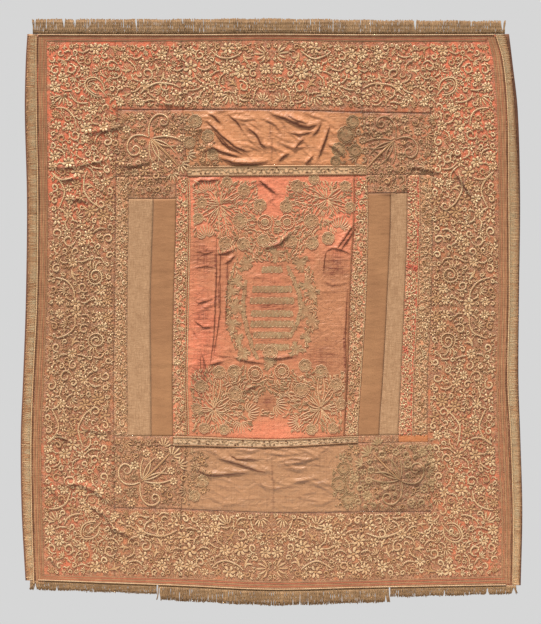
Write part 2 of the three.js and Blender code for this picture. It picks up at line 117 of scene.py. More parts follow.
# Creases of the front cloth: half width, height, how dark the painted shade along its foot is, and the places
# that it runs through.
CREASES = [
    (7, 5, 0.9, [(-608, -322), (-543, -315), (-488, -299)]),
    (7, 5, 0.9, [(-494, -426), (-452, -429), (-406, -419)]),
    (6, 4, 0.9, [(-666, -538), (-631, -537), (-596, -546)]),
    (6, 4, 0.8, [(-731, -432), (-676, -436), (-618, -426), (-546, -410)]),
    (6, 4, 0.7, [(-696, -475), (-655, -472), (-614, -465)]),
    (8, 7, 0.8, [(-676, -1463), (-624, -1463), (-572, -1485), (-527, -1524)]),
    (8, 6, 0.8, [(-592, -1531), (-533, -1567), (-520, -1606), (-478, -1622), (-439, -1645)]),
    (7, 4, 0.5, [(-754, -1443), (-705, -1489), (-657, -1541)]),
    (7, 4, 0.6, [(-725, -1697), (-689, -1736)]),
    (7, 4, 0.7, [(-705, -1294), (-663, -1320)]),
    (7, 4, 0.5, [(-631, -1277), (-559, -1294), (-494, -1287)]),
    (7, 6, 0.9, [(592, -442), (621, -488), (648, -530)]),
    (7, 5, 0.7, [(445, -432), (490, -437), (530, -447)]),
    (6, 6, 0.9, [(-205, -258), (-185, -268), (-166, -288)]),
    (6.5, 7, 0.95, [(-211, -280), (-159, -331), (-114, -367), (-78, -380)]),
    (7, 6, 0.7, [(-176, -320), (-140, -362), (-96, -388)]),
    (6, 6.5, 0.9, [(-230, -384), (-192, -367), (-159, -383), (-104, -398)]),
    (8.5, 9, 1.0, [(-166, -401), (-120, -417), (-70, -419), (-22, -414)]),
    (6, 6.5, 0.95, [(-78, -302), (-46, -328), (-34, -356), (-16, -368)]),
    (8, 8.5, 1.0, [(0, -258), (40, -270), (91, -293), (120, -300), (148, -290)]),
    (7, 6, 0.9, [(52, -262), (84, -280), (112, -286)]),
    (5.5, 6.5, 0.95, [(184, -300), (172, -340), (162, -367), (148, -404)]),
    (7, 6, 0.8, [(186, -358), (210, -372), (232, -394)]),
    (6, 4, 0.5, [(-32, -273), (10, -293), (30, -320)]),
    (6, 4, 0.5, [(20, -350), (70, -372), (110, -365)]),
    (6, 4, 0.5, [(-130, -270), (-90, -280), (-60, -276)]),
    (6, 5, 0.8, [(20, -412), (36, -396), (54, -386)]),
    (6, 5, 0.8, [(70, -374), (84, -356), (100, -340)]),
    (6, 5, 0.8, [(105, -424), (120, -408), (132, -394)]),
    (6, 5, 0.7, [(130, -330), (146, -312), (156, -290)]),
    (4, 1, 0.5, [(-4, -252), (-3, -340), (-4, -428)]),
    (5, 4, 0.8, [(-140, -262), (-112, -284), (-96, -310)]),
    (5, 4, 0.8, [(60, -318), (86, -326), (128, -318)]),
    (5, 4, 0.75, [(-186, -316), (-160, -352), (-128, -378)]),
    (7, 6, 0.85, [(-174, -1376), (-107, -1395), (-49, -1415), (-20, -1420)]),
    (6, 5, 0.7, [(-132, -1366), (-115, -1378), (-46, -1381)]),
    (6, 4, 0.6, [(-124, -1349), (-62, -1355)]),
    (7, 6, 0.8, [(-252, -1407), (-215, -1428), (-174, -1430), (-82, -1422)]),
    (6, 4, 0.5, [(21, -1399), (91, -1391), (160, -1372)]),
    (6, 3, 0.4, [(49, -1466), (100, -1450), (153, -1442)]),
    (6, 3, 0.4, [(124, -1456), (160, -1470), (195, -1488)]),
    (5, 2, 0.3, [(-40, -1440), (-33, -1462), (-10, -1490)]),
    (4, 1, 0.6, [(2, -1346), (3, -1450), (2, -1552)]),
    (5, 3, 0.5, [(-20, -1362), (40, -1368), (96, -1362)]),
    (5, 3, 0.5, [(10, -1390), (60, -1380), (130, -1384)]),
    (6, 5, 0.95, [(-256, -492), (-232, -474), (-206, -476), (-172, -470)]),
    (6, 6, 1.0, [(-38, -474), (-12, -497), (14, -517)]),
    (6, 6, 1.0, [(-24, -697), (20, -683), (62, -644)]),
    (5, 5, 1.0, [(208, -698), (235, -660), (263, -620)]),
    (5, 4, 0.9, [(220, -702), (246, -666), (268, -632)]),
    (5, 4, 1.0, [(-176, -714), (-150, -711), (-122, -698)]),
    (5, 4, 0.8, [(-156, -745), (-138, -736), (-120, -716)]),
    (2.6, 2.0, 0.9, [(-183, -650), (-182, -760), (-186, -880), (-189, -960), (-193, -1010), (-203, -1073)]),
    (2.6, 2.0, 0.9, [(-169, -690), (-171, -800), (-170, -900), (-176, -946), (-190, -1040)]),
    (3, 2.4, 0.8, [(-147, -741), (-145, -800), (-149, -860), (-153, -946)]),
    (4, 2, 0.7, [(-250, -705), (-216, -712), (-190, -706)]),
    (4, 2, 0.7, [(-248, -760), (-215, -752), (-184, -758)]),
    (5, 3, 0.8, [(-250, -930), (-222, -952), (-188, -948)]),
    (5, 3, 0.75, [(-246, -880), (-226, -868), (-196, -860)]),
    (5, 3, 0.8, [(-225, -1040), (-214, -1076), (-206, -1100)]),
    (6, 3, 0.5, [(-240, -905), (-200, -880), (-170, -872)]),
    (6, 4, 0.8, [(-205, -1076), (-190, -1070), (-160, -1062)]),
    (6, 4, 0.8, [(-230, -1045), (-226, -1110)]),
    (6, 4, 0.7, [(-120, -1050), (-75, -1062), (-28, -1068)]),
    (6, 4, 0.7, [(-38, -1048), (20, -1052), (76, -1046)]),
    (5, 4, 0.95, [(-90, -1162), (-52, -1140)]),
    (3, 2.4, 0.9, [(243, -830), (236, -980), (240, -1100), (234, -1292)]),
    (4, 3, 0.9, [(172, -706), (196, -694), (224, -700), (252, -712)]),
    (3, 2.4, 0.8, [(174, -708), (168, -740), (166, -775)]),
    (4, 2, 0.5, [(166, -800), (196, -816), (250, -806)]),
    (7, 3, 0.5, [(340, -515), (385, -518), (436, -502)]),
]

SEAM_HALF, SEAM_DEEP = 3.6, 0.5

# Seams that show as dark lines of painted shade, each in a shallow groove: their line, reach along it and how
# dark.
SEAMS = [
    ("seam_top", -512, 520, 0.75), ("seam_bottom", -512, 520, 0.7), ("galloon_top_upper", -300, 300, 0.2),
    ("galloon_top_lower", -300, 300, 0.35), ("galloon_bottom_lower", -330, 300, 0.6),
    ("strips_bottom", -512, 520, 0.22), ("strips_top", -470, -325, 0.25), ("strips_top", 293, 445, 0.7),
    ("border_left", -1540, -240, 0.12), ("border_right", -1550, -250, 0.12),
    ("brocade_left", -1800, 0, 0.35), ("brocade_right", -1800, 0, 0.22), ("lace_left", -1308, -462, 0.1),
    ("linen_left", -1308, -535, 0.35), ("tan_left", -1308, -462, 0.22),
    ("centre_right", -1308, -462, 0.3), ("tan_right", -1308, -518, 0.3),
    ("linen_right", -1308, -462, 0.15), ("red_right", -1308, -462, 0.2), ("guard_left", -1766, -26, 0.35),
    ("guard_right", -1766, -26, 0.35), ("guard_top", -731, 730, 0.35), ("guard_bottom", -745, 744, 0.35),
]

PLAIN_RED = 0.32  # the share of its red that the ground keeps where ROSY adds nothing

# Where the ground's red keeps strongest (above 0) or has browned (below 0): centre, half widths and share.
ROSY = [
    (-670, -180, 130, 150, 0.85), (-660, -480, 100, 150, 0.7), (-500, -60, 200, 50, 0.6),
    (660, -240, 120, 220, 0.75), (600, -50, 200, 50, 0.45), (-700, -1740, 120, 60, 0.25),
    (-640, -900, 90, 220, -0.3), (-660, -1500, 120, 240, 0.3), (640, -1420, 130, 260, 0.35),
    (680, -1700, 120, 90, 0.22), (660, -860, 110, 220, -0.15), (-430, -330, 120, 100, 0.35),
    (0, -480, 170, 120, 0.9), (-230, -560, 110, 120, 0.5), (230, -540, 90, 160, 0.6),
    (-230, -1000, 60, 200, 0.6), (0, -1300, 160, 60, 0.5), (0, -850, 80, 160, 0.1),
    (200, -900, 70, 130, -0.7), (230, -1120, 70, 90, -0.4), (-220, -720, 60, 90, -0.1),
    (-40, -1180, 170, 60, -0.35), (0, -1660, 420, 110, -0.5), (-600, -1050, 100, 130, -0.45),
    (0, -120, 700, 110, 0.3), (430, -1400, 120, 90, -0.5), (-690, -260, 90, 240, 0.2),
    (430, -340, 110, 100, 0.25),
]

PATCH_DARKNESS = 0.55  # how dark the darkest of the darkened patches is

# Darkened patches, some of them worn places, others broad darker areas such as the band along the bottom edge:
# centre, half widths and strength.
DARKENED_PATCHES = [
    (-224, -724, 38, 56, 0.72), (-225, -900, 32, 60, 0.8), (-232, -1120, 28, 90, 0.85),
    (0, -885, 66, 9, 0.5), (206, -757, 36, 46, 0.85), (168, -1050, 60, 50, 0.55),
    (-13, -1196, 24, 22, 0.6), (-150, -800, 14, 120, 0.3), (-755, -350, 20, 60, 0.3),
    (0, -850, 70, 130, 0.32), (-100, -1130, 60, 60, 0.25), (60, -1150, 60, 60, 0.2),
    (-190, -980, 30, 80, 0.3), (0, -1710, 700, 120, 0.48), (-660, -1400, 110, 320, 0.36),
    (680, -1400, 110, 320, 0.36), (0, -1450, 420, 90, 0.12), (-248, -345, 40, 80, 0.55),
    (252, -345, 34, 90, 0.7), (-640, -900, 110, 240, 0.22), (640, -900, 110, 240, 0.24),
    (-640, -915, 90, 110, 0.12), (440, -1450, 90, 110, 0.72), (-430, -1450, 90, 110, 0.18),
]

# Short fine wrinkles scattered over the fields.
WRINKLES = [  # left, right, bottom, top, number, slope, spread of slope, length, height
    (-250, 250, -425, -255, 46, -0.5, 0.5, 60, 3.2),
    (-200, 200, -1540, -1345, 40, -0.15, 0.3, 80, 2.6),
    (-280, 250, -1300, -470, 60, -0.1, 0.6, 50, 2.0),
    (-500, -300, -520, -255, 16, 0.1, 0.3, 50, 2.4),
    (300, 510, -500, -260, 26, 0.1, 0.4, 50, 3.0),
    (300, 510, -1540, -1345, 44, 0.2, 0.3, 55, 3.4),
    (-500, -300, -1540, -1345, 14, -0.2, 0.4, 50, 2.4),
    (-720, -520, -1700, -60, 50, 0.0, 0.4, 50, 2.0),
    (530, 720, -1700, -60, 40, 0.0, 0.5, 50, 2.0),
    (-500, 500, -1760, -1560, 36, 0.1, 0.4, 60, 2.0),
    (-500, 500, -240, -30, 26, 0.0, 0.4, 60, 2.0),
]


def through(knots, values, at):
    """The smooth curve through the values at the knots, at each place asked for."""
    knots, values = np.asarray(knots, float), np.asarray(values, float)
    if knots[1] < knots[0]:
        knots, values = knots[::-1], values[::-1]
    slope = np.gradient(values, knots)
    slope[1:-1] = (values[2:] - values[:-2]) / (knots[2:] - knots[:-2])
    at = np.clip(at, knots[0], knots[-1])
    k = np.clip(np.searchsorted(knots, at, side="right") - 1, 0, len(knots) - 2)
    step = knots[k + 1] - knots[k]
    t = (at - knots[k]) / step
    bend = slope[k] * step * t * (1 - t) ** 2 - slope[k + 1] * step * t * t * (1 - t)
    return values[k] + (values[k + 1] - values[k]) * t * t * (3 - 2 * t) + bend


def down(name, z):
    """Where a line down the curtain lies, at each height."""
    return through(LEVELS, DOWN[name], z)


def across(name, x):
    """How high a line across the curtain lies, at each place along it."""
    return through(STATIONS, ACROSS[name], x)


def hills(rows, x, z):
    """The sum of round hills: centre, half widths and height of each."""
    return sum(v * np.exp(-(((x - cx) / w) ** 2) - ((z - cz) / h) ** 2) for cx, cz, w, h, v in rows)


def small_creases():
    """The short fine wrinkles, as (half width, height, darkness of the painted shade along the foot, places)."""
    rng = np.random.default_rng(SEEDS["wrinkles"])
    rows = []
    for left, right, low, top, number, slope, spread, length, high in WRINKLES:
        for _ in range(number):
            x, z = rng.uniform(left, right), rng.uniform(low, top)
            turn = math.atan(slope + rng.normal(0, spread))
            half = length * rng.uniform(0.3, 0.8)
            bow = rng.normal(0, half * 0.15)
            dx, dz = math.cos(turn), math.sin(turn)
            middle = (x - bow * dz, z + bow * dx)
            places = [(x - half * dx, z - half * dz), middle, (x + half * dx, z + half * dz)]
            rows.append((rng.uniform(4, 7.5), high * rng.uniform(0.4, 1), rng.uniform(0.05, 0.35), places))
    return rows


class Cloth:
    """The cloth's relief; its dirt and painted shade, in darkened patches, along crease feet and along seams;
    and its redness, on a lattice over the whole curtain.
    """

    def __init__(self):
        self.x = np.arange(-840, 841, LATTICE)
        self.z = np.arange(-1900, 101, LATTICE)
        gx, gz = np.meshgrid(self.x, self.z)
        self.lift = np.zeros_like(gx)
        self.soil_and_shade = np.clip(hills(DARKENED_PATCHES, gx, gz), 0, 1) * PATCH_DARKNESS
        self.rosy = np.clip(PLAIN_RED + hills(ROSY, gx, gz), 0, 1)
        for wide, high, soil_and_shade, places in CREASES + small_creases():
            self.crease(gx, gz, wide, high, soil_and_shade, np.array(places, float))
        # Each seam is a shallow groove with a line of painted shade along it.
        for name, low, high, soil_and_shade in SEAMS:
            off, along = (gz - across(name, gx), gx) if name in ACROSS else (gx - down(name, gz), gz)
            near = np.exp(-((off / SEAM_HALF) ** 2)) * (along > low) * (along < high)
            self.soil_and_shade = np.maximum(self.soil_and_shade, soil_and_shade * near)
            self.lift -= SEAM_DEEP * near

    def crease(self, gx, gz, wide, high, soil_and_shade, places):
        """One ridge with a steep lower side, and a line of painted shade along its foot, darkest on the lower
        side.
        """
        reach = wide * 4
        i0, j0 = self.index(places.min(0) - reach)
        i1, j1 = self.index(places.max(0) + reach)
        part = np.s_[j0:j1 + 1, i0:i1 + 1]
        x, z = gx[part], gz[part]
        steps = np.diff(places, axis=0)
        lengths = np.hypot(*steps.T)
        total, passed = lengths.sum(), 0.0
        best = np.full(x.shape, np.inf)
        side, share = np.zeros_like(x), np.zeros_like(x)
        for start, step, length in zip(places, steps, lengths):
            along = ((x - start[0]) * step[0] + (z - start[1]) * step[1]) / length**2
            held = np.clip(along, 0, 1)
            ox, oz = x - start[0] - held * step[0], z - start[1] - held * step[1]
            off = np.hypot(ox, oz)
            near = off < best
            up = np.sign(step[0]) * (step[0] * oz - step[1] * ox) if step[0] else ox * length
            best[near], side[near] = off[near], np.sign(up)[near]
            share[near] = ((passed + held * length) / total)[near]
            passed += length
        fade = np.sin(np.pi * np.clip(share, 0.04, 0.96)) ** 0.5
        width = np.where(side > 0, wide * UPPER_SIDE, wide * LOWER_SIDE)
        self.lift[part] += high * fade * np.exp(-((best / width) ** 2))
        # Painted shade: the crease's foot is darkened, four times as much on its lower side, where light from
        # above does not reach.
        foot = best - wide * FOOT
        dark = soil_and_shade * fade * np.where(side > 0, 0.25, 1.0)
        self.soil_and_shade[part] = np.maximum(self.soil_and_shade[part], dark * np.exp(-((foot / (wide * 0.45 + 1.2)) ** 2)))

    def index(self, place):
        """The lattice point at or just below a place."""
        i = int(np.clip((place[0] - self.x[0]) / LATTICE, 0, len(self.x) - 1))
        j = int(np.clip((place[1] - self.z[0]) / LATTICE, 0, len(self.z) - 1))
        return i, j

    def sample(self, values, x, z):
        """Values of the lattice at any places, read between its points."""
        u = np.clip((x - self.x[0]) / LATTICE, 0, len(self.x) - 1.001)
        v = np.clip((z - self.z[0]) / LATTICE, 0, len(self.z) - 1.001)
        i, j = u.astype(int), v.astype(int)
        s, t = u - i, v - j
        top = values[j, i] * (1 - s) + values[j, i + 1] * s
        return top * (1 - t) + (values[j + 1, i] * (1 - s) + values[j + 1, i + 1] * s) * t

    def forward(self, x, z):
        """How far forward of y = 0 the front cloth's face stands."""
        return FRONT + CLOTH_THICK + hills(SWELLS, x, z) + self.sample(self.lift, x, z)


def foot(wide, places):
    """The line along the lower side of a crease."""
    places = np.array(places, float)
    at = np.linspace(0, len(places) - 1, 6 * (len(places) - 1) + 1)
    knots = np.arange(len(places))
    x, z = np.interp(at, knots, places[:, 0]), np.interp(at, knots, places[:, 1])
    way = np.stack([np.gradient(x), np.gradient(z)], -1)
    way /= np.linalg.norm(way, axis=1, keepdims=True)
    side = np.where(way[:, :1] > 0.05, 1.0, -1.0)
    return np.stack([x, z], -1) + np.stack([way[:, 1], -way[:, 0]], -1) * side * wide * FOOT


cloth = Cloth()


def srgb(r, g, b):
    """A colour as read from 0 to 255, as the linear colour that a shader takes."""
    shares = (r / 255, g / 255, b / 255)
    return (*(c / 12.92 if c <= 0.04045 else ((c + 0.055) / 1.055) ** 2.4 for c in shares), 1)


# Dark brown for dirt, and for the painted shade along crease feet and seams.
SOIL_AND_SHADE = (92, 50, 26)


class Shade:
    """One node material, built up by short calls. Colours are given as read from 0 to 255, or as sockets."""

    def __init__(self, name, roughness, metallic=0.0, sheen=0.0, specular=0.5):
        self.material = bpy.data.materials.new(name)
        self.material.use_nodes = True
        self.tree = self.material.node_tree
        self.shader = self.tree.nodes["Principled BSDF"]
        self.colour = None
        self.shader.inputs["Roughness"].default_value = roughness
        self.shader.inputs["Metallic"].default_value = metallic
        self.shader.inputs["Sheen Weight"].default_value = sheen
        self.shader.inputs["Specular IOR Level"].default_value = specular

    def node(self, kind, inputs=(), **settings):
        """A shader node with its settings and inputs, each input a value or a socket."""
        made = self.tree.nodes.new("ShaderNode" + kind)
        for key, value in settings.items():
            setattr(made, key, value)
        for key, value in dict(inputs).items():
            if isinstance(value, bpy.types.NodeSocket):
                self.tree.links.new(value, made.inputs[key])
            else:
                made.inputs[key].default_value = value
        return made

    def place(self, scale, source="Object", turn=0.0):
        """Texture places, scaled and turned."""
        origin = self.node("TexCoord").outputs[source]
        inputs = {"Vector": origin, "Scale": scale, "Rotation": (0, turn, 0)}
        return self.node("Mapping", inputs).outputs["Vector"]

    def noise(self, scale, detail=3, rough=0.6, turn=0.0, warp=0.0):
        inputs = {"Vector": self.place(scale, turn=turn), "Scale": 1.0, "Detail": detail, "Roughness": rough}
        return self.node("TexNoise", {**inputs, "Distortion": warp}).outputs["Fac"]

    def wave(self, scale, source="UV", turn=0.0, warp=1.0):
        inputs = {"Vector": self.place(scale, source, turn), "Scale": 1.0, "Distortion": warp, "Detail": 2.0}
        return self.node("TexWave", inputs).outputs["Fac"]

    def held(self, name):
        """A value that the mesh holds at its points."""
        return self.node("Attribute", attribute_name=name).outputs["Fac"]

    def span(self, value, low, high, to_low=0.0, to_high=1.0):
        """A value's reach from low to high, as a share, held at both ends."""
        inputs = {"Value": value, "From Min": low, "From Max": high, "To Min": to_low, "To Max": to_high}
        return self.node("MapRange", inputs).outputs["Result"]

    def sum(self, a, b, operation="ADD"):
        return self.node("Math", {0: a, 1: b}, operation=operation).outputs[0]

    def mix(self, share, a, b):
        tones = [tone if isinstance(tone, bpy.types.NodeSocket) else srgb(*tone) for tone in (a, b)]
        return self.node("Mix", {0: share, 6: tones[0], 7: tones[1]}, data_type="RGBA").outputs[2]

    def lay(self, tone, value, low, high, at_low=0.0, at_high=1.0):
        """Lays a tone over the colour so far, by a share that goes with the value."""
        self.colour = self.mix(self.span(value, low, high, at_low, at_high), self.colour, tone)

    def soiled_and_shaded(self, most, tone=SOIL_AND_SHADE):
        """Darkens the colour so far, up to a share, by the cloth's dirt and by the painted shade along crease
        feet and seams.
        """
        self.lay(tone, self.held("soil_and_shade"), 0.0, 1.0, 0.0, most)

    def bump(self, height, deep, strength=1.0, onto=None):
        inputs = {"Height": height, "Distance": deep, "Strength": strength}
        if onto is not None:
            inputs["Normal"] = onto
        return self.node("Bump", inputs).outputs["Normal"]

    def finish(self, normal=None):
        self.tree.links.new(self.colour, self.shader.inputs["Base Color"])
        if normal is not None:
            self.tree.links.new(normal, self.shader.inputs["Normal"])
        return self.material


def satin(name, red, brown, light, worn_and_shade, streak, roughness, streaky=False, worked=None):
    """Silk satin: red where it has kept its dye, brown where it has faded, with streaks along its threads."""
    s = Shade(f"satin_{name}", roughness, sheen=0.2, specular=0.6)
    mottle = s.noise((11, 11, 11), 5, 0.75)
    keeps = s.span(s.sum(s.held("rosy"), s.sum(mottle, 0.9, "MULTIPLY")), 0.62, 1.3)
    s.colour = s.mix(keeps, brown, red)
    threads = s.noise(streak, 4, 0.7)
    s.lay(light, threads, 0.45, 0.75, 0.0, 0.7)
    s.lay(worn_and_shade, threads, 0.25, 0.42, 0.7 if streaky else 0.5, 0.0)
    rub = s.noise((60, 60, 110), 4, 0.75)
    s.lay(worn_and_shade, rub, 0.56, 0.76, 0.0, 0.75 if streaky else 0.55)
    warp = s.noise((330, 330, 9), 4, 0.75)
    s.lay(light, warp, 0.5, 0.75, 0.0, 0.45)
    s.lay(worn_and_shade, warp, 0.28, 0.42, 0.35, 0.0)
    # Bare streaks, in the worn tone, where the cloth is dirtier, and also in the painted shade of crease feet
    # and seams.
    bare = s.span(s.noise((13, 13, 130), 5, 0.8), 0.5, 0.57, 0.0, 2.4 if streaky else 1.5)
    s.colour = s.mix(s.sum(bare, s.held("soil_and_shade"), "MULTIPLY"), s.colour, worn_and_shade)
    if streaky:
        upright = s.span(s.noise((150, 150, 11), 5, 0.8), 0.52, 0.6, 0.0, 1.5)
        s.colour = s.mix(s.sum(upright, s.held("soil_and_shade"), "MULTIPLY"), s.colour, worn_and_shade)
    fine = s.bump(threads, 0.0014, 0.7)
    if worked is not None:
        field = s.noise((46, 46, 46), 2, 0.5, warp=1.6)
        lines = s.sum(s.sum(field, 44, "MULTIPLY"), 0, "SINE")
        kept = s.sum(s.held("rosy"), 0.15, "MULTIPLY")
        patchy = s.span(s.sum(s.noise((26, 26, 26), 3, 0.6), kept, "SUBTRACT"), 0.29, 0.44)
        pale_lines = s.sum(s.span(lines, -0.2, 0.35, 0.0, 0.8), patchy, "MULTIPLY")
        dark_lines = s.sum(s.span(lines, -0.95, -0.3, 0.6, 0.0), patchy, "MULTIPLY")
        s.colour = s.mix(dark_lines, s.mix(pale_lines, s.colour, worked), worn_and_shade)
        fine = s.bump(s.sum(lines, patchy, "MULTIPLY"), 0.0012, 0.8, fine)
    # Darkened towards the worn tone by dirt and by the painted shade along crease feet and seams.
    s.soiled_and_shaded(0.55 if streaky else 0.8, worn_and_shade)
    return s.finish(s.bump(s.noise((34, 34, 46), 4, 0.6, warp=1.2), 0.0045, 0.9, fine))


def thread(name, pale, deep, outline_and_shade, roughness=0.5, metallic=0.1, soiled_and_shaded=0.8, ribbed=0.6, edge_from=0.52):
    """Couched metal thread: pale where rubbed, deep where tarnished, dark along both edges of a stroke, an
    outline with painted shade where it meets the cloth.
    """
    s = Shade(f"thread_{name}", roughness, metallic, specular=0.6)
    s.colour = s.mix(s.span(s.noise((60, 60, 60), 4, 0.75), 0.35, 0.65), deep, pale)
    s.lay(deep, s.noise((10, 10, 10), 3, 0.6), 0.46, 0.68, 0.0, 0.75)
    s.lay(deep, s.noise((420, 420, 420), 2, 0.6), 0.4, 0.75, 0.0, 0.3)
    across_it = s.node("SeparateXYZ", {"Vector": s.node("TexCoord").outputs["UV"]}).outputs["Y"]
    off = s.sum(s.sum(across_it, 1.0, "SUBTRACT"), 0, "ABSOLUTE")
    # The dark edge: partly an outline, partly painted shade where the stroke meets the cloth.
    s.lay(outline_and_shade, off, edge_from, edge_from + 0.32)
    # Darkened by the dirt and the painted crease and seam shade of the cloth beneath.
    s.soiled_and_shaded(soiled_and_shaded)
    return s.finish(s.bump(s.wave((0.055, 0.3, 1.0), "UV", 0.0, 0.8), 0.0009, ribbed))


def twill(name, pale, deep):
    """Plain tan twill with faint diagonal wrinkles."""
    s = Shade(name, 0.75, sheen=0.2)
    s.colour = s.mix(s.span(s.noise((7, 7, 5), 4, 0.6), 0.35, 0.7), deep, pale)
    s.lay(deep, s.noise((160, 160, 60), 3, 0.7), 0.5, 0.85, 0.0, 0.3)
    # Darkened by dirt and by the painted shade along crease feet and seams.
    s.soiled_and_shaded(0.8)
    lines = s.bump(s.wave((160, 160, 160), "Object", 0.8, 0.8), 0.0004, 0.35)
    return s.finish(s.bump(s.noise((10, 10, 30), 3, 0.5, turn=0.7), 0.006, 0.55, lines))


def linen(name, pale, deep):
    """Slubby pale linen, its threads crossing."""
    s = Shade(name, 0.85, sheen=0.1)
    mesh = s.sum(s.noise((45, 45, 420), 4, 0.75), s.noise((380, 380, 30), 4, 0.75), "MULTIPLY")
    s.colour = s.mix(s.span(mesh, 0.14, 0.42), deep, pale)
    s.lay(deep, s.noise((22, 22, 22), 5, 0.85), 0.5, 0.68, 0.0, 0.8)
    # Darkened by dirt and by the painted shade along crease feet and seams.
    s.soiled_and_shaded(0.8)
    return s.finish(s.bump(mesh, 0.002, 0.8))


def lining_silk(name, pale, deep, rubbed):
    """Plain brown lining silk, rubbed and lightly creased."""
    s = Shade(name, 0.7, sheen=0.2)
    s.colour = s.mix(s.span(s.noise((5, 5, 5), 5, 0.65), 0.3, 0.7), deep, pale)
    slub = s.noise((30, 30, 500), 3, 0.7)
    s.lay(rubbed, slub, 0.5, 0.8, 0.0, 0.35)
    weave = s.bump(slub, 0.0006, 0.5)
    return s.finish(s.bump(s.noise((9, 9, 14), 4, 0.55, warp=0.8), 0.01, 0.5, weave))


def fringe_metal(name, pale, mid, deep):
    """Twisted tarnished thread: each lock its own tone, dark between the turns."""
    s = Shade(name, 0.55, 0.2)
    s.colour = s.mix(s.held("tone"), deep, pale)
    s.lay(mid, s.noise((60, 60, 60), 3, 0.7), 0.3, 0.75, 0.0, 0.8)
    twist = s.wave((0.07, 0.3, 1.0), "UV", 0.0, 0.5)
    s.lay(deep, twist, 0.0, 0.4, 0.4, 0.0)
    return s.finish(s.bump(twist, 0.0008, 0.8))


def galloon_metal(name, pale, deep, lost):
    """Close woven galloon with small dark marks where its threads have gone."""
    s = Shade(name, 0.6, 0.2)
    ribs = s.noise((320, 320, 90), 3, 0.7)
    s.colour = s.mix(s.span(ribs, 0.3, 0.7), deep, pale)
    s.lay(lost, s.noise((60, 60, 120), 4, 0.75), 0.6, 0.72, 0.0, 0.8)
    # Darkened by dirt and by the painted shade along crease feet and seams.
    s.soiled_and_shaded(0.8)
    return s.finish(s.bump(ribs, 0.002, 0.8))


# The threads: name, pale, deep and edge tones (the edge a dark outline with painted shade at a stroke's foot),
# then roughness, metallic, how far dirt and painted shade darken it, ribbed and edge_from.
THREADS = [thread(*row) for row in (
    ("bright", (255, 221, 170), (232, 180, 128), (108, 52, 24), 0.42),
    ("green", (220, 178, 132), (186, 142, 98), (114, 62, 36), 0.55),
    ("dull", (234, 184, 132), (198, 146, 96), (112, 58, 32)),
    ("edge", (150, 96, 56), (104, 62, 34), (96, 54, 30), 0.7, 0.0),
    ("salmon", (208, 138, 96), (168, 110, 72), (154, 102, 68), 0.5, 0.0, 0.8, 0.3),
    ("tan", (208, 156, 108), (168, 120, 80), (146, 102, 68), 0.5, 0.0, 0.8, 0.3),
    ("coral", (240, 124, 94), (224, 104, 76), (176, 92, 60), 0.6, 0.0),
    ("ash", (220, 184, 138), (190, 152, 108), (146, 84, 54), 0.55, 0.05, 0.6, 0.35, 0.66),
    ("dusk", (206, 170, 124), (180, 144, 100), (152, 94, 60), 0.6, 0.05, 0.6, 0.35, 0.7),
    ("line", (255, 214, 164), (236, 184, 136), (150, 80, 52), 0.5, 0.05, 0.6, 0.35, 0.6),
    # fold: a dark thread only for the painted shadow lines along crease feet
    ("fold", (158, 94, 58), (126, 68, 40), (140, 80, 48), 0.7, 0.0, 0.35, 0.0),
    ("band", (190, 158, 114), (184, 132, 92), (172, 120, 82), 0.6, 0.05, 0.5, 0.25, 0.7),
    ("rust", (216, 122, 82), (180, 96, 62), (150, 92, 60), 0.5, 0.0, 0.8, 0.3),
)]
BRIGHT, GREEN, DULL, EDGE, SALMON, TAN, CORAL, ASH, DUSK, LINE, FOLD_SHADOW, BAND, RUST = range(len(THREADS))

# The tone of the small worked pattern on those silks that have one.
WORKED = {
    "border": (214, 164, 116), "corner": (212, 162, 114), "pale": (248, 196, 142), "coral": (255, 206, 150),
}

# The silks: name, red, brown, light and worn tones (the worn tone also paints the shade along crease feet and
# seams), the scale of the streaks, roughness, whether streaky.
SILK = {row[0]: satin(*row, worked=WORKED.get(row[0])) for row in (
    ("top", (232, 152, 98), (214, 142, 92), (242, 180, 130), (112, 58, 28), (7, 7, 330), 0.44),
    ("low", (210, 150, 106), (188, 136, 94), (220, 168, 124), (108, 64, 36), (7, 7, 330), 0.4),
    ("centre", (252, 142, 102), (200, 132, 88), (236, 164, 120), (126, 58, 32), (6, 6, 280), 0.48, True),
    ("border", (246, 122, 82), (204, 130, 82), (224, 150, 104), (116, 62, 34), (14, 14, 300), 0.5),
    ("corner", (236, 134, 90), (198, 130, 86), (216, 162, 116), (112, 64, 36), (14, 14, 260), 0.5),
    ("pale", (248, 164, 116), (234, 160, 110), (236, 180, 132), (124, 74, 42), (14, 14, 260), 0.5),
    ("coral", (255, 126, 88), (246, 150, 104), (250, 168, 126), (146, 72, 42), (14, 14, 300), 0.5),
    ("orange", (226, 130, 70), (206, 124, 70), (236, 160, 100), (120, 66, 34), (7, 7, 300), 0.45),
)}
TWILL = twill("twill_tan", (192, 138, 92), (172, 120, 78))
LINEN = linen("linen_pale", (226, 180, 136), (170, 126, 88))
LINING = lining_silk("lining_silk", (132, 82, 50), (104, 58, 32), (160, 112, 74))
# The top galloon's tones are painted paler than the lower one's: painted light against the shade that the satin
# fold above casts on it.
GALLOON_TOP = galloon_metal("galloon_top_metal", (255, 220, 172), (252, 188, 136), (96, 66, 38))
GALLOON_LOW = galloon_metal("galloon_low_metal", (255, 222, 180), (222, 172, 126), (96, 66, 38))
FRINGE = fringe_metal("fringe_metal", (208, 170, 125), (184, 146, 104), (144, 110, 75))
SIDE_FRINGE = fringe_metal("side_fringe_metal", (255, 236, 194), (255, 212, 160), (204, 144, 98))


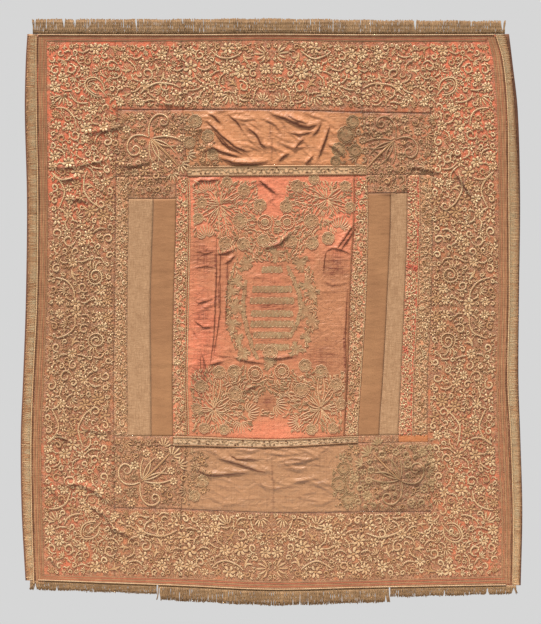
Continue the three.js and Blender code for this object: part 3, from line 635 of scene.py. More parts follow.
def solid(name, points, faces, materials, picks=None, uv=None, smooth=True, held=None):
    """A mesh object from points in millimetres, with its materials and the values that its points hold."""
    mesh = bpy.data.meshes.new(name)
    mesh.from_pydata(np.asarray(points) * MM, [], faces)
    for material in materials:
        mesh.materials.append(material)
    if picks is not None:
        mesh.polygons.foreach_set("material_index", np.asarray(picks, np.int32))
    mesh.polygons.foreach_set("use_smooth", np.full(len(mesh.polygons), smooth))
    if uv is not None:
        layer = mesh.uv_layers.new(name="thread")
        corners = np.empty(len(mesh.loops), np.int32)
        mesh.loops.foreach_get("vertex_index", corners)
        layer.data.foreach_set("uv", np.asarray(uv, np.float32)[corners].ravel())
    for key, values in (held or {}).items():
        attribute = mesh.attributes.new(key, "FLOAT", "POINT")
        attribute.data.foreach_set("value", np.asarray(values, np.float32).ravel())
    piece = bpy.data.objects.new(name, mesh)
    bpy.context.scene.collection.objects.link(piece)
    return piece


def held_by(points):
    """The dirt and painted shade, and the redness, of the cloth at each point."""
    x, z = points[:, 0], points[:, 2]
    return {"soil_and_shade": cloth.sample(cloth.soil_and_shade, x, z), "rosy": cloth.sample(cloth.rosy, x, z)}


def quads(at):
    """The quads of a grid of point numbers."""
    return np.stack([at[:-1, :-1], at[1:, :-1], at[1:, 1:], at[:-1, 1:]], -1).reshape(-1, 4)


def thread_uv(paths):
    """Texture places for paths three points wide: the run along each path, and 0, 1 and 2 across it."""
    run = np.cumsum(np.linalg.norm(np.diff(paths, axis=1, prepend=paths[:, :1]), axis=2), axis=1)
    across_it = np.broadcast_to([0.0, 1.0, 2.0], (*run.shape, 3))
    return np.stack([np.repeat(run[..., None], 3, 2), across_it], -1).reshape(-1, 2)


def spread(span, step, inset):
    """The grid of places over the cloth between four lines."""
    left, right, top, bottom = span
    wide = down(right, MIDDLE) - down(left, MIDDLE)
    long = across(top, 0) - across(bottom, 0)
    n = COARSE * max(2, round(wide / step / COARSE))
    m = COARSE * max(2, round(long / step / COARSE))
    u, v = np.meshgrid(np.linspace(0, 1, n + 1), np.linspace(0, 1, m + 1))
    z = across(top, 0) * (1 - v) + across(bottom, 0) * v
    for _ in range(3):
        x = (down(left, z) + inset) * (1 - u) + (down(right, z) - inset) * u
        z = (across(top, x) - inset) * (1 - v) + (across(bottom, x) + inset) * v
    return x, z


def sheet_parts(span, step, face, back, inset):
    """One closed sheet: a fine face, a coarser back and the rim between them."""
    x, z = spread(span, step, inset)
    m, n = x.shape
    front = np.stack([x, -face(x, z), z], -1).reshape(-1, 3)
    bx, bz = x[::COARSE, ::COARSE], z[::COARSE, ::COARSE]
    rear = np.stack([bx, -back(bx, bz), bz], -1).reshape(-1, 3)
    points = np.concatenate([front, rear])
    at = np.arange(m * n).reshape(m, n)
    far = np.arange(bx.size).reshape(bx.shape) + m * n
    faces = quads(at).tolist() + quads(far.T).tolist()
    rims = ((at[:, 0], far[:, 0], 1), (at[-1], far[-1], 1), (at[:, -1], far[:, -1], -1), (at[0], far[0], -1))
    for fine, rough, way in rims:
        for k in range(len(rough) - 1):
            ring = [rough[k], rough[k + 1], *fine[k * COARSE:(k + 1) * COARSE + 1][::-1]]
            faces.append([int(i) for i in (ring if way > 0 else ring[::-1])])
    return points, faces


def cloth_back(x, z):
    """How far forward the back of the front cloth stands."""
    return FRONT + hills(SWELLS, x, z)


def sheet(name, spans, step, material, slot, face=cloth.forward, back=cloth_back, inset=GAP / 2):
    """A sewn piece of cloth over one or two spans, in place of the solid of the same name."""
    points, faces, area = [], [], 0.0
    for span in spans:
        more, rows = sheet_parts(span, step, face, back, inset)
        faces += [[i + len(points) for i in row] for row in rows]
        points = np.concatenate([points, more]) if len(points) else more
        x, z = spread(span, step * 4, inset)
        wide = x[:, -1] - x[:, 0]
        area += float(((wide[1:] + wide[:-1]) / 2 * -np.diff(z[:, 0])).sum())
    piece = solid(f"{name}_cloth", points, faces, [material], held=held_by(points))
    low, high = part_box(name)
    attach(piece, "root")
    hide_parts(name)
    return piece


class Stitches:
    """Raised strokes of thread on the cloth, gathered and made into one mesh."""

    LIFT = 0.35  # how far a stroke's edges stand off the cloth
    RELIEF = 1.25

    def __init__(self):
        self.strokes = {}

    def add(self, places, wide, high, thread, ends=0.35, raised=0.0, swell=1.0):
        """A stroke through places, narrowed at both ends to a share.

        A swell over 1 moves its widest place on.
        """
        places = np.asarray(places, float)
        t = np.linspace(0, 1, len(places)) ** swell
        share = ends + (1 - ends) * np.sin(np.pi * np.clip(t, 0.0, 1.0)) ** 0.45
        self.strokes.setdefault(len(places), []).append((places, wide * 0.5 * share, high, thread, raised))

    def edged(self, places, wide, high, thread, ends=0.35, edge=2.6, swell=1.0):
        """A broader stroke, so that its dark edge, an outline with painted shade, stands clear of its thread."""
        self.add(places, wide + edge, high, thread, ends, 0.2, swell)

    def make(self, name, slot):
        """One mesh of all the strokes, each three points wide, with its middle line raised."""
        points, faces, picks, uvs, count = [], [], [], [], 0
        for n, rows in self.strokes.items():
            at, half, high, picked, raised = (np.array(column) for column in zip(*rows))
            high = high[:, None] * np.clip(half / half.max(1, keepdims=True), 0.3, 1) * self.RELIEF
            along = np.gradient(at, axis=1)
            along /= np.maximum(np.linalg.norm(along, axis=2, keepdims=True), 1e-6)
            out = np.stack([-along[..., 1], along[..., 0]], -1) * half[..., None]
            ring = np.stack([at + out, at, at - out], 2)
            x, z = ring[..., 0], ring[..., 1]
            edge = np.zeros_like(half)
            stand = np.stack([edge, high, edge], 2) + self.LIFT + raised[:, None, None]
            points.append(np.stack([x, -(cloth.forward(x, z) + stand), z], -1).reshape(-1, 3))
            uvs.append(thread_uv(at))
            index = np.arange(len(rows) * n * 3).reshape(-1, n, 3) + count
            corners = [index[:, :-1, :-1], index[:, :-1, 1:], index[:, 1:, 1:], index[:, 1:, :-1]]
            faces.append(np.stack(corners, -1).reshape(-1, 4))
            picks.append(np.repeat(picked, (n - 1) * 2))
            count += index.size
        points = np.concatenate(points)
        piece = solid(
            name, points, np.concatenate(faces).tolist(), THREADS, np.concatenate(picks),
            np.concatenate(uvs), held=held_by(points),
        )
        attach(piece, "root")
        return piece


def arc(x, z, radius, start, sweep, steps, end_radius=None, squash=1.0, turn=0.0):
    """Places along an arc or spiral about (x, z), from the angle start through sweep, in turns."""
    t = np.linspace(0, 1, steps)
    r = radius * ((radius if end_radius is None else end_radius) / radius) ** t
    a = 2 * math.pi * (start + sweep * t)
    u, v = r * np.cos(a), r * np.sin(a) * squash
    c, s = math.cos(2 * math.pi * turn), math.sin(2 * math.pi * turn)
    return np.stack([x + u * c - v * s, z + u * s + v * c], -1)


def line(x0, z0, x1, z1, steps=4, bow=0.0):
    """Places along a line that bows to its left by a share of its length."""
    t = np.linspace(0, 1, steps)
    side = bow * 4 * t * (1 - t)
    return np.stack([x0 + (x1 - x0) * t - (z1 - z0) * side, z0 + (z1 - z0) * t + (x1 - x0) * side], -1)


def spoke(x, z, angle, near, far, steps=4, bow=0.0):
    """Places along a line that runs out from (x, z) at an angle, in turns."""
    c, s = math.cos(2 * math.pi * angle), math.sin(2 * math.pi * angle)
    return line(x + near * c, z + near * s, x + far * c, z + far * s, steps, bow)


def dot(work, x, z, r, thread_index, high=1.6):
    """A round raised stitch."""
    work.add(line(x - r, z, x + r, z, 4), 2 * r, high, thread_index, 0.45)


def curl(work, x, z, r, angle, hand, main, fill):
    """A fat scroll that ends in a bulb, with a row of small leaves along its back."""
    body = arc(x, z, r * 0.78, angle, hand * 1.0, 14, r * 0.28)
    work.edged(body, min(6.0, max(3.4, r * 0.36)), 2.4, main, 0.4, 2.2, 1.2)
    dot(work, *body[-1], min(3.6, r * 0.28), main)
    for k in range(4):
        leaf = spoke(x, z, angle + hand * (0.02 + 0.12 * k), r * 0.8, r * 1.14, 4, hand * 0.3)
        work.edged(leaf, r * 0.22, 1.7, main if k % 2 else fill, 0.3, 1.2)


def bloom(work, x, z, r, angle, petals, main, fill):
    """A flower of full petals, all bent the same way, about a small eye."""
    wide = min(4.0 / petals, 0.58) * r
    for k in range(petals):
        far = r * (1.0 + 0.07 * math.sin(3.1 * k + x))
        work.edged(spoke(x, z, angle + k / petals, r * 0.3, far, 5, 0.22), wide, 2.1, main, 0.4, 1.5, 1.6)
    dot(work, x, z, r * 0.27, fill, 1.2)


def tuft(work, x, z, r, angle, hand, main, fill):
    """Three leaves from one root, the outer two bent away."""
    root = spoke(x, z, angle, -r * 0.9, 0, 2)[0]
    work.edged(spoke(*root, angle, 1, r * 1.9, 5, hand * 0.1), r * 0.42, 2.0, main, 0.35, 1.4, 1.5)
    for way in (1, -1):
        at = spoke(*root, angle + way * 0.1, 1, r * 1.5, 5, way * -0.3)
        work.edged(at, r * 0.36, 1.8, main if way > 0 else fill, 0.35, 1.4, 1.5)


def leafed(work, places, every, size, thread):
    """Small leaves on alternate sides of a stem."""
    for n, k in enumerate(range(2, len(places) - 2, every)):
        way = places[k + 1] - places[k - 1]
        side = 1 if n % 2 else -1
        angle = math.atan2(way[1], way[0]) / (2 * math.pi) + side * 0.13
        far = size * (1 - 0.35 * k / len(places))
        leaf = spoke(*places[k], angle, 1.5, far, 4, side * -0.25)
        work.edged(leaf, far * 0.34, 2.0, thread, 0.35, 1.6, 1.4)


def rosette(work, x, z, r, angle, petals, main, fill):
    """A flower of separate petals about a tarnished middle."""
    for k in range(petals):
        petal = spoke(x, z, angle + k / petals, r * 0.42, r * 0.98, 4)
        work.edged(petal, 4.2 * r / petals, 1.9, main, 0.55, 1.4)
    dot(work, x, z, r * 0.36, fill, 1.2)


def sprig(work, x, z, r, angle, hand, main, fill):
    """A bent stem with paired leaves."""
    stem = spoke(x, z, angle, -r * 0.95, r * 0.95, 7, hand * 0.22)
    work.edged(stem, max(2.4, r * 0.2), 1.6, main, 0.4, 1.4)
    for k, at in enumerate(stem[1:6:2]):
        for way in (1, -1):
            leaf = spoke(*at, angle + way * 0.16, r * 0.1, r * 0.72, 4, way * 0.2)
            work.add(leaf, r * 0.3, 1.5, main if k else fill, 0.3)


def paisley(work, x, z, r, angle, hand, main, fill):
    """A drop that curls at its tip, with a vein."""
    work.edged(arc(x, z, r * 0.9, angle, hand * 0.8, 12, r * 0.35), max(3.0, r * 0.34), 2.1, main, 0.25)
    for k in range(3):
        work.add(spoke(x, z, angle + hand * (0.15 + 0.2 * k), r * 0.1, r * 0.55, 4), r * 0.18, 1.2, fill, 0.4)


def fan(work, x, z, r, angle, hand, main, fill):
    """A palmette: petals that open from one root."""
    root = spoke(x, z, angle, -r * 0.9, 0, 2)[0]
    for k in range(-2, 3):
        far = r * (1.75 - 0.18 * abs(k))
        at = spoke(*root, angle + k * 0.075, r * 0.3, far, 5, hand * 0.05 * k)
        work.edged(at, r * 0.32, 1.9, main, 0.35, 1.2, 1.6)
    work.add(arc(*root, r * 0.34, angle - 0.3, 0.6, 6), r * 0.2, 1.5, fill, 0.5)


def berries(work, x, z, r, angle, number, main):
    """A ring of round stitches."""
    for k in range(number):
        a = 2 * math.pi * (angle + k / number)
        dot(work, x + r * 0.55 * math.cos(a), z + r * 0.55 * math.sin(a), r * 0.4, main, 1.7)


def snail(work, x, z, r, angle, hand, main, fill):
    """A large leaf wound into a snail, ribbed, toothed along its back and with a tail of three blades."""
    outer = arc(x, z, r * 0.94, angle, hand * 0.84, 20, r * 0.78)
    inner = arc(x, z, r * 0.78, angle + hand * 0.84, hand * 1.1, 18, r * 0.2)[1:]
    work.edged(np.concatenate([outer, inner]), r * 0.15, 2.4, main, 0.6, 1.8)
    for k in range(15):
        a = angle + hand * k * 0.056
        rib = spoke(x, z, a, r * 0.46, r * 0.76, 4, hand * 0.25)
        work.add(rib, r * 0.1, 1.5, fill if k % 2 else main, 0.4)
        tooth = spoke(x, z, a, r * (0.98 - 0.01 * k), r * (1.3 - 0.02 * k), 4, hand * 0.3)
        work.edged(tooth, r * 0.14, 1.9, main, 0.4, 1.0, 1.4)
    for k in range(3):
        near, far = r * (0.9 - 0.1 * k), r * (2.0 - 0.2 * k)
        tail = spoke(x, z, angle - hand * (0.03 + 0.04 * k), near, far, 9, hand * 0.22)
        work.edged(tail, r * 0.15, 2.1, main, 0.4, 1.6)
    dot(work, x, z, r * 0.16, main)


def medallion(work, x, z, r, angle, main, fill):
    """A large leaf: a toothed outline open at its stalk, an inner line, a bent vein and its side veins."""
    outline = arc(x, z, r, 0.06, 0.9, 26, squash=0.72, turn=angle)
    work.edged(outline, r * 0.15, 2.4, main, 0.6, 1.8)
    work.edged(arc(x, z, r * 0.76, 0.3, 0.62, 18, squash=0.7, turn=angle), r * 0.08, 1.8, main, 0.5, 1.4)
    for k in range(20):
        at = arc(x, z, r * 1.06, 0.08 + k * 0.043, 0.0001, 2, squash=0.76, turn=angle)[0]
        far = arc(x, z, r * 1.32, 0.11 + k * 0.043, 0.0001, 2, squash=0.82, turn=angle)[0]
        work.edged(line(*at, *far, 4, 0.25), r * 0.1, 1.7, main, 0.4, 1.0, 1.4)
    work.edged(spoke(x, z, angle, -r * 0.6, r * 1.5, 11, 0.1), r * 0.11, 2.0, main, 0.4, 1.4)
    for k in range(-2, 3):
        for way in (1, -1):
            root = spoke(x, z, angle, 0, r * 0.24 * k + 1e-3, 2)[1]
            vein = spoke(*root, angle + way * 0.12, r * 0.04, r * 0.4, 5, way * 0.2)
            work.add(vein, r * 0.1, 1.5, fill, 0.4)


def scallops(x, z, r, angle, lobes, steps):
    """Places along a closed scalloped line."""
    t = np.linspace(0, 1, steps)
    a = 2 * math.pi * (angle + t)
    far = r * (0.93 + 0.1 * np.abs(np.sin(math.pi * lobes * t)))
    return np.stack([x + far * np.cos(a), z + far * np.sin(a)], -1)


def disc(work, x, z, r, angle, main, fill):
    """A round flat flower: a dusky disc, uneven petal lines on it and a pale scalloped outline."""
    work.add(arc(x, z, r * 0.52, angle, 1.0, 14), r * 1.04, 0.7, fill, 1.0)
    work.edged(arc(x, z, r * 0.34, angle + 0.1, 0.7, 12, r * 0.26), 1.5, 1.4, main, 0.8, 0.9, 1.0)
    petals = max(7, int(r * 0.5))
    for k in range(petals):
        uneven = math.sin(2.4 * k + x)
        at = spoke(x, z, angle + (k + 0.2 * uneven) / petals, r * 0.6, r * (1.0 + 0.08 * uneven), 4, 0.2)
        work.edged(at, 1.9, 1.4, main if uneven > -0.2 else fill, 0.5, 1.0)
    for share, wide in ((1.12, 1.8), (0.88, 0.9)):
        places = scallops(x, z, r * share, angle, petals, 4 * petals + 1)
        places += 0.5 * np.sin(places[:, ::-1] / 3.1)
        work.edged(places, wide, 1.7, main, 0.9, 1.2)


def ragged(work, x, z, r, angle, main, fill):
    """A ragged flat leaf: broad dusky lobes of unequal reach, with pale lines on and about them."""
    for k in range(6):
        far = r * (1.08 + 0.26 * math.sin(2.7 * k + x))
        turn = angle + (k + 0.25 * math.sin(3.3 * k + z)) / 6
        work.add(spoke(x, z, turn, 0, far, 6, 0.12), r * 0.72, 0.7, fill, 0.6, 0.02 * k)
        work.edged(spoke(x, z, turn + 0.02, r * 0.3, far * 0.92, 4, 0.2), 1.4, 1.3, main, 0.5, 1.0)
        for side in (-1, 1):
            edge = spoke(x, z, turn + side * 0.055, r * 0.6, far * 1.04, 5, side * -0.22)
            work.edged(edge, 1.5, 1.5, main if k % 2 else fill, 0.6, 1.0)


def ring(work, x, z, r, angle, main, fill):
    """Two scalloped rings, one inside the other, with fine strokes between them."""
    work.edged(scallops(x, z, r * 0.98, angle, 14, 43), 2.0, 1.9, main, 0.9, 1.4)
    work.edged(arc(x, z, r * 0.52, angle, 1.0, 16, squash=0.9), 1.8, 1.6, main, 0.9, 1.4)
    for k in range(16):
        barb = spoke(x, z, angle + k / 16, r * 0.62, r * 0.86, 4, 0.2)
        work.add(barb, 2.6, 1.4, main if k % 2 else fill, 0.5)
    work.add(arc(x, z, r * 0.24, angle, 1.0, 10), r * 0.4, 1.1, fill, 1.0)


def feather(work, x, z, r, angle, main):
    """A leaf of many long narrow barbs."""
    root = spoke(x, z, angle, -r, 0, 2)[0]
    for k in range(-4, 5):
        far = r * (2.1 - 0.14 * abs(k))
        work.edged(spoke(*root, angle + k * 0.045, r * 0.25, far, 5, 0.05 * k), r * 0.12, 1.5, main, 0.4, 1.2)


# Large scrolls of one quarter of the border: middle, radius, where each starts, its turns and last radius.
SCROLLS = [
    (-652, -112, 22, 0.30, -1.1, 9), (-520, -108, 24, 0.05, 1.1, 9), (-404, -128, 24, 0.75, 1.1, 9),
    (-352, -168, 20, 0.95, -1.1, 8), (-232, -74, 20, 0.25, 1.15, 8), (-96, -176, 24, 0.35, -1.1, 9),
    (-702, -116, 20, 0.15, 1.1, 8), (-640, -330, 24, 0.45, 1.15, 9), (-566, -404, 20, 0.1, -1.1, 8),
    (-664, -668, 26, 0.0, -1.1, 9), (-560, -556, 20, 0.35, 1.1, 8), (-612, -820, 22, 0.9, -1.1, 8),
]
STEMS = [  # long bowed stems of the quarter: from, to and bow
    (-716, -452, -700, -566, 0.26), (-600, -446, -566, -566, -0.24), (-716, -452, -650, -470, -0.2),
    (-700, -566, -668, -592, 0.1), (-430, -196, -300, -174, 0.2), (-196, -60, -96, -60, -0.26),
    (-706, -240, -640, -300, 0.26), (-660, -190, -600, -222, -0.2), (-700, -790, -640, -866, 0.24),
]
FEATURES = [  # the largest leaves of the quarter: kind, middle, radius and turn
    ("medallion", -578, -172, 35, 0.88), ("snail", -572, -786, 27, 0.33), ("bloom", -21, -116, 19, 0.0),
    ("fan", -30, -206, 18, 0.2),
]
# Flowers of the quarter that stems grow out from: middle and radius.
HUBS = [
    (-706, -172, 18), (-668, -584, 15), (-636, -876, 18), (-660, -420, 19), (-570, -52, 19), (-264, -112, 22),
    (-416, -168, 16), (-476, -78, 15), (-606, -420, 14), (-690, -868, 15), (-646, -740, 16), (-150, -120, 19),
    (-356, -66, 17), (-548, -300, 16), (-700, -300, 15), (-540, -480, 15), (-600, -654, 15),
]


class Room:
    """Which places of a region are still bare."""

    CELL = 2.0

    def __init__(self, left, right, low, high, inside):
        self.x0, self.z0 = left, low
        n, m = int((right - left) / self.CELL), int((high - low) / self.CELL)
        x, z = left + (np.arange(n) + 0.5) * self.CELL, low + (np.arange(m) + 0.5) * self.CELL
        self.gx, self.gz = np.meshgrid(x, z)
        self.bare = inside(self.gx, self.gz)

    def cell(self, x, z, r):
        """The cell that a place lies in, and how many cells r reaches."""
        return int((x - self.x0) / self.CELL), int((z - self.z0) / self.CELL), int(r / self.CELL) + 1

    def take(self, x, z, r):
        """Marks a disc as worked."""
        i, j, reach = self.cell(x, z, r)
        part = np.s_[max(0, j - reach):j + reach + 1, max(0, i - reach):i + reach + 1]
        self.bare[part] &= (self.gx[part] - x) ** 2 + (self.gz[part] - z) ** 2 > r * r

    def fits(self, x, z, r):
        """Whether a disc lies on bare places alone."""
        i, j, reach = self.cell(x, z, r)
        if i < reach or j < reach or i + reach >= self.bare.shape[1] or j + reach >= self.bare.shape[0]:
            return False
        part = np.s_[j - reach:j + reach + 1, i - reach:i + reach + 1]
        near = (self.gx[part] - x) ** 2 + (self.gz[part] - z) ** 2 <= r * r
        return not (near & ~self.bare[part]).any()

    def fill(self, rng, sizes, spare):
        """Discs of each size where they fit, the largest first, as x, z and r."""
        found = []
        for r, tries in sizes:
            open_cells = np.flatnonzero(self.bare)
            if not len(open_cells):
                break
            for cell in rng.choice(open_cells, tries):
                x, z = self.gx.flat[cell], self.gz.flat[cell]
                if self.fits(x, z, r * 0.98):
                    found.append((x, z, r))
                    self.take(x, z, r + spare)
        return found


def motif(work, rng, x, z, r, main, fill):
    """One of the traditional motifs, chosen for its size."""
    angle, hand = rng.uniform(0, 1), rng.choice([1, -1])
    kind = rng.uniform()
    if r >= 11:
        if kind < 0.36:
            bloom(work, x, z, r, angle, rng.integers(5, 9), main, fill)
        else:
            drawn = curl if kind < 0.72 else fan if kind < 0.84 else paisley if kind < 0.92 else tuft
            drawn(work, x, z, r, angle, hand, main, fill)
    elif r >= 7:
        if 0.38 <= kind < 0.56:
            bloom(work, x, z, r, angle, rng.integers(4, 6), main, fill)
        else:
            drawn = curl if kind < 0.38 else tuft if kind < 0.9 else sprig
            drawn(work, x, z, r, angle, hand, main, fill)
    elif r >= 4.5:
        if kind < 0.3:
            berries(work, x, z, r, angle, 3, main)
        else:
            work.edged(spoke(x, z, angle, -r, r, 5, hand * 0.32), r * 0.66, 1.8, main, 0.3, 1.4, 1.4)
    else:
        at = spoke(x, z, angle, -r * 1.3, r * 1.3, 4, hand * 0.3)
        work.add(at, r * 1.15, 1.7, main if kind < 0.6 else fill, 0.3, 0.0, 1.4)


def grow(work, room, rng, hubs, main, fill):
    """Bowed stems from each flower to new ones, as long as there is room, with small leaves along them."""
    heads = list(hubs)
    for x, z, r in hubs:
        room.take(x, z, r * 1.05)
        bloom(work, x, z, r, rng.uniform(0, 1), int(rng.integers(6, 9)), main, fill)
    while heads:
        x, z, r = heads.pop(0)
        first = rng.uniform(0, 1)
        for k in range(6):
            angle = first + k / 6 + rng.uniform(-0.04, 0.04)
            tip_r = rng.choice([11.0, 13.0, 15.0, 18.0])
            far = r + rng.uniform(16, 46)
            end = spoke(x, z, angle, 0, far + tip_r, 2)[1]
            stem = spoke(x, z, angle, r * 1.05, far, 11, rng.choice([-1, 1]) * rng.uniform(0.1, 0.26))
            if not room.fits(*end, tip_r) or not all(room.fits(*place, 4.0) for place in stem[2:]):
                continue
            work.edged(stem, 3.6, 2.4, main, 0.55, 2.4)
            leafed(work, stem, 3, 10, main)
            motif(work, rng, *end, tip_r, main, fill)
            for place in stem:
                room.take(*place, 6.0)
            room.take(*end, tip_r)
            heads.append((*end, tip_r))


QUARTER_LEFT, QUARTER_TOP = -731, -26  # the outer guard lines that the quarter is laid out to


def border_quarter():
    """One quarter of the border: its scrolls, stems and leaves in their places, then growth and filling."""
    rng = np.random.default_rng(SEEDS["border"])
    quarter = Stitches()

    def inside(x, z):
        outer = (x > -726) & (x < -1) & (z < -32) & (z > MIDDLE + 1)
        return outer & ((x < -514) | (z > -240))

    room = Room(-740, 0, MIDDLE, 0, inside)

    def stem(places, high, ends, leafy, every):
        quarter.edged(places, 4.6, high, BRIGHT, ends)
        leafed(quarter, leafy, every, 12, BRIGHT)
        for place in places:
            room.take(*place, 5.0)

    for x, z, r, start, sweep, last in SCROLLS:
        places = arc(x, z, r * 0.84, start, sweep, 30, last * 0.8)
        stem(places, 2.6, 0.45, places[:22], 3)
    for x0, z0, x1, z1, bow in STEMS:
        places = line(x0, z0, x1, z1, 22, bow)
        stem(places, 2.5, 0.6, places, 4)
    for kind, x, z, r, turn in FEATURES:
        if kind == "medallion":
            for place in arc(x, z, r * 0.95, 0, 1.0, 40, squash=0.76, turn=turn):
                room.take(*place, r * 0.3)
            medallion(quarter, x, z, r, turn, BRIGHT, GREEN)
            continue
        room.take(x, z, r * 1.2)
        if kind == "bloom":
            bloom(quarter, x, z, r, turn, 8, BRIGHT, GREEN)
        else:
            (snail if kind == "snail" else fan)(quarter, x, z, r, turn, 1, BRIGHT, GREEN)
    grow(quarter, room, rng, HUBS, BRIGHT, DULL)
    sizes = [
        (22, 200), (19, 600), (16, 1600), (13, 3000), (11, 4000), (9, 5000), (7, 5000), (5.4, 4000), (4.2, 3000),
    ]
    for x, z, r in room.fill(rng, sizes, -0.2):
        motif(quarter, rng, x, z, r * 1.06, BRIGHT if rng.uniform() < 0.8 else DULL, DULL)
    return quarter


def mirrored(quarter):
    """The quarter worked four times, with small shifts, as strokes for each side of the border."""
    sides = {name: Stitches() for name in ("left", "right", "top", "bottom")}
    for flip, edge_x in ((-1, "guard_left"), (1, "guard_right")):
        for half in ("top", "bottom"):
            edge_z = f"guard_{half}"
            for places, *rest in (row for rows in quarter.strokes.values() for row in rows):
                share_x = places[:, 0] / QUARTER_LEFT
                share_z = (places[:, 1] - MIDDLE) / (QUARTER_TOP - MIDDLE)
                z = MIDDLE + share_z * (across(edge_z, share_x * flip * -QUARTER_LEFT) - MIDDLE)
                x = share_x * down(edge_x, z)
                z = MIDDLE + share_z * (across(edge_z, x) - MIDDLE)
                x, z = x + 3.2 * np.sin(z / 61 + flip), z + 3.2 * np.sin(x / 53 + z / 90)
                x, z = x + 1.1 * np.sin(z / 9.5 + x / 21), z + 1.1 * np.sin(x / 10.5 - z / 23 + flip)
                side = half
                if x.mean() < down("border_left", z.mean()):
                    side = "left"
                elif x.mean() > down("border_right", z.mean()):
                    side = "right"
                sides[side].strokes.setdefault(len(places), []).append((np.stack([x, z], -1), *rest))
    return sides


GUARDS = [  # where each line lies from the edge to the guard's inner side, its thread and width
    (0.06, EDGE, 4.0), (0.17, EDGE, 1.8), (0.24, TAN, 5.0), (0.36, SALMON, 5.6), (0.53, TAN, 6.8),
    (0.72, SALMON, 5.8), (0.9, TAN, 5.6),
]


def guards(sides):
    """The couched lines along the border's outer edge, and the pale braids that head the fringes."""
    heights, widths = np.linspace(-8, -1785, 160), np.linspace(-760, 760, 140)
    for side in ("left", "right"):
        edge, guard = down(f"cloth_{side}", heights), down(f"guard_{side}", heights)
        for share, thread_index, wide in GUARDS:
            x = edge * (1 - share) + guard * share
            x = x + 0.7 * np.sin(heights / 17 + share * 9) + 0.5 * np.sin(heights / 41 + share * 31)
            sides[side].add(np.stack([x, heights], -1), wide, 0.8, thread_index, 0.9)
        braid = edge + (1.2 if side == "right" else -1.2)
        sides[side].add(np.stack([braid, heights], -1), 4.8, 2.6, BRIGHT, 0.9, 1.2)
    for side, height in (("top", 0), ("bottom", -1790)):
        left, right = down("cloth_left", height), down("cloth_right", height)
        for share, thread_index, wide in GUARDS:
            x = np.clip(widths, left + 6 + 28 * share, right - 6 - 28 * share)
            z = across(f"{side}_edge", x) * (1 - share) + across(f"guard_{side}", x) * share
            z = z + 0.4 * np.sin(x / 15 + share * 7)
            kind = RUST if thread_index == SALMON else thread_index
            sides[side].add(np.stack([x, z], -1), wide * 0.75, 0.8, kind, 0.9)
        x = np.clip(widths, left + 3, right - 3)
        braid = across(f"{side}_edge", x) + (-2.2 if side == "top" else 2.2)
        sides[side].add(np.stack([x, braid], -1), 4.4, 2.4, BRIGHT, 0.9, 1.0)


def border_work():
    """The embroidery of the border, as one piece for each side."""
    sides = mirrored(border_quarter())
    guards(sides)
    for side, work in sides.items():
        work.make(f"embroidery_{side}", "border")


SHADOW_LINE_FROM = 0.65  # creases whose foot shade is this dark or darker also get a painted shadow line


def fold_shadow_lines():
    """Painted shadow lines: thin dark strokes along the feet of the sharpest creases, where shade falls."""
    works = {"border": Stitches(), "satin": Stitches(), "centre": Stitches()}
    for wide, _, soil_and_shade, places in CREASES:
        if soil_and_shade < SHADOW_LINE_FROM:
            continue
        x, z = np.mean(places, axis=0)
        inner = down("brocade_left", z) < x < down("brocade_right", z)
        slot = "border"
        if inner and across("seam_bottom", x) < z < across("seam_top", x):
            slot = "centre" if across("strips_bottom", x) < z < across("galloon_top_lower", x) else "satin"
        path = foot(wide, places)
        path += 0.7 * np.sin(path[:, ::-1] / 6.3) + 0.4 * np.sin(path[:, ::-1] / 2.9)
        works[slot].add(path, 1.2 + 1.4 * soil_and_shade, 0.2, FOLD_SHADOW, 0.1, 0.25)
    for slot, work in works.items():
        work.make(f"fold_shadows_{slot}", slot)


LOOPS = [  # the two scrolls of a corner spray, from its root: right and up
    [(-3, 4), (-5, 30), (3, 58), (23, 76), (45, 75), (58, 62), (54, 46), (40, 43), (34, 54), (42, 61),
     (48, 55)],
    [(-4, 3), (-29, 10), (-55, 6), (-72, -13), (-73, -39), (-58, -56), (-39, -51), (-34, -34), (-47, -25),
     (-57, -34), (-49, -42)],
]
SPRAY_STEMS = [  # its stems: angle in turns, length and bow
    (-0.01, 100, 0.1), (-0.045, 88, -0.14), (-0.085, 96, 0.12), (-0.165, 90, -0.12), (-0.2, 84, 0.16),
    (-0.235, 78, -0.1),
]
SPRAY_FLOWERS = [  # its flowers: middle and radius
    (-33, 70, 14), (-76, 28, 14), (-22, -52, 15), (52, 16, 15), (104, 0, 13), (96, -34, 13), (60, -84, 14),
    (16, -92, 13),
]
SPRAY_FANS = [(112, -96, 22, -0.125), (76, -128, 18, -0.2), (136, -58, 18, -0.06)]  # middle, radius and turn

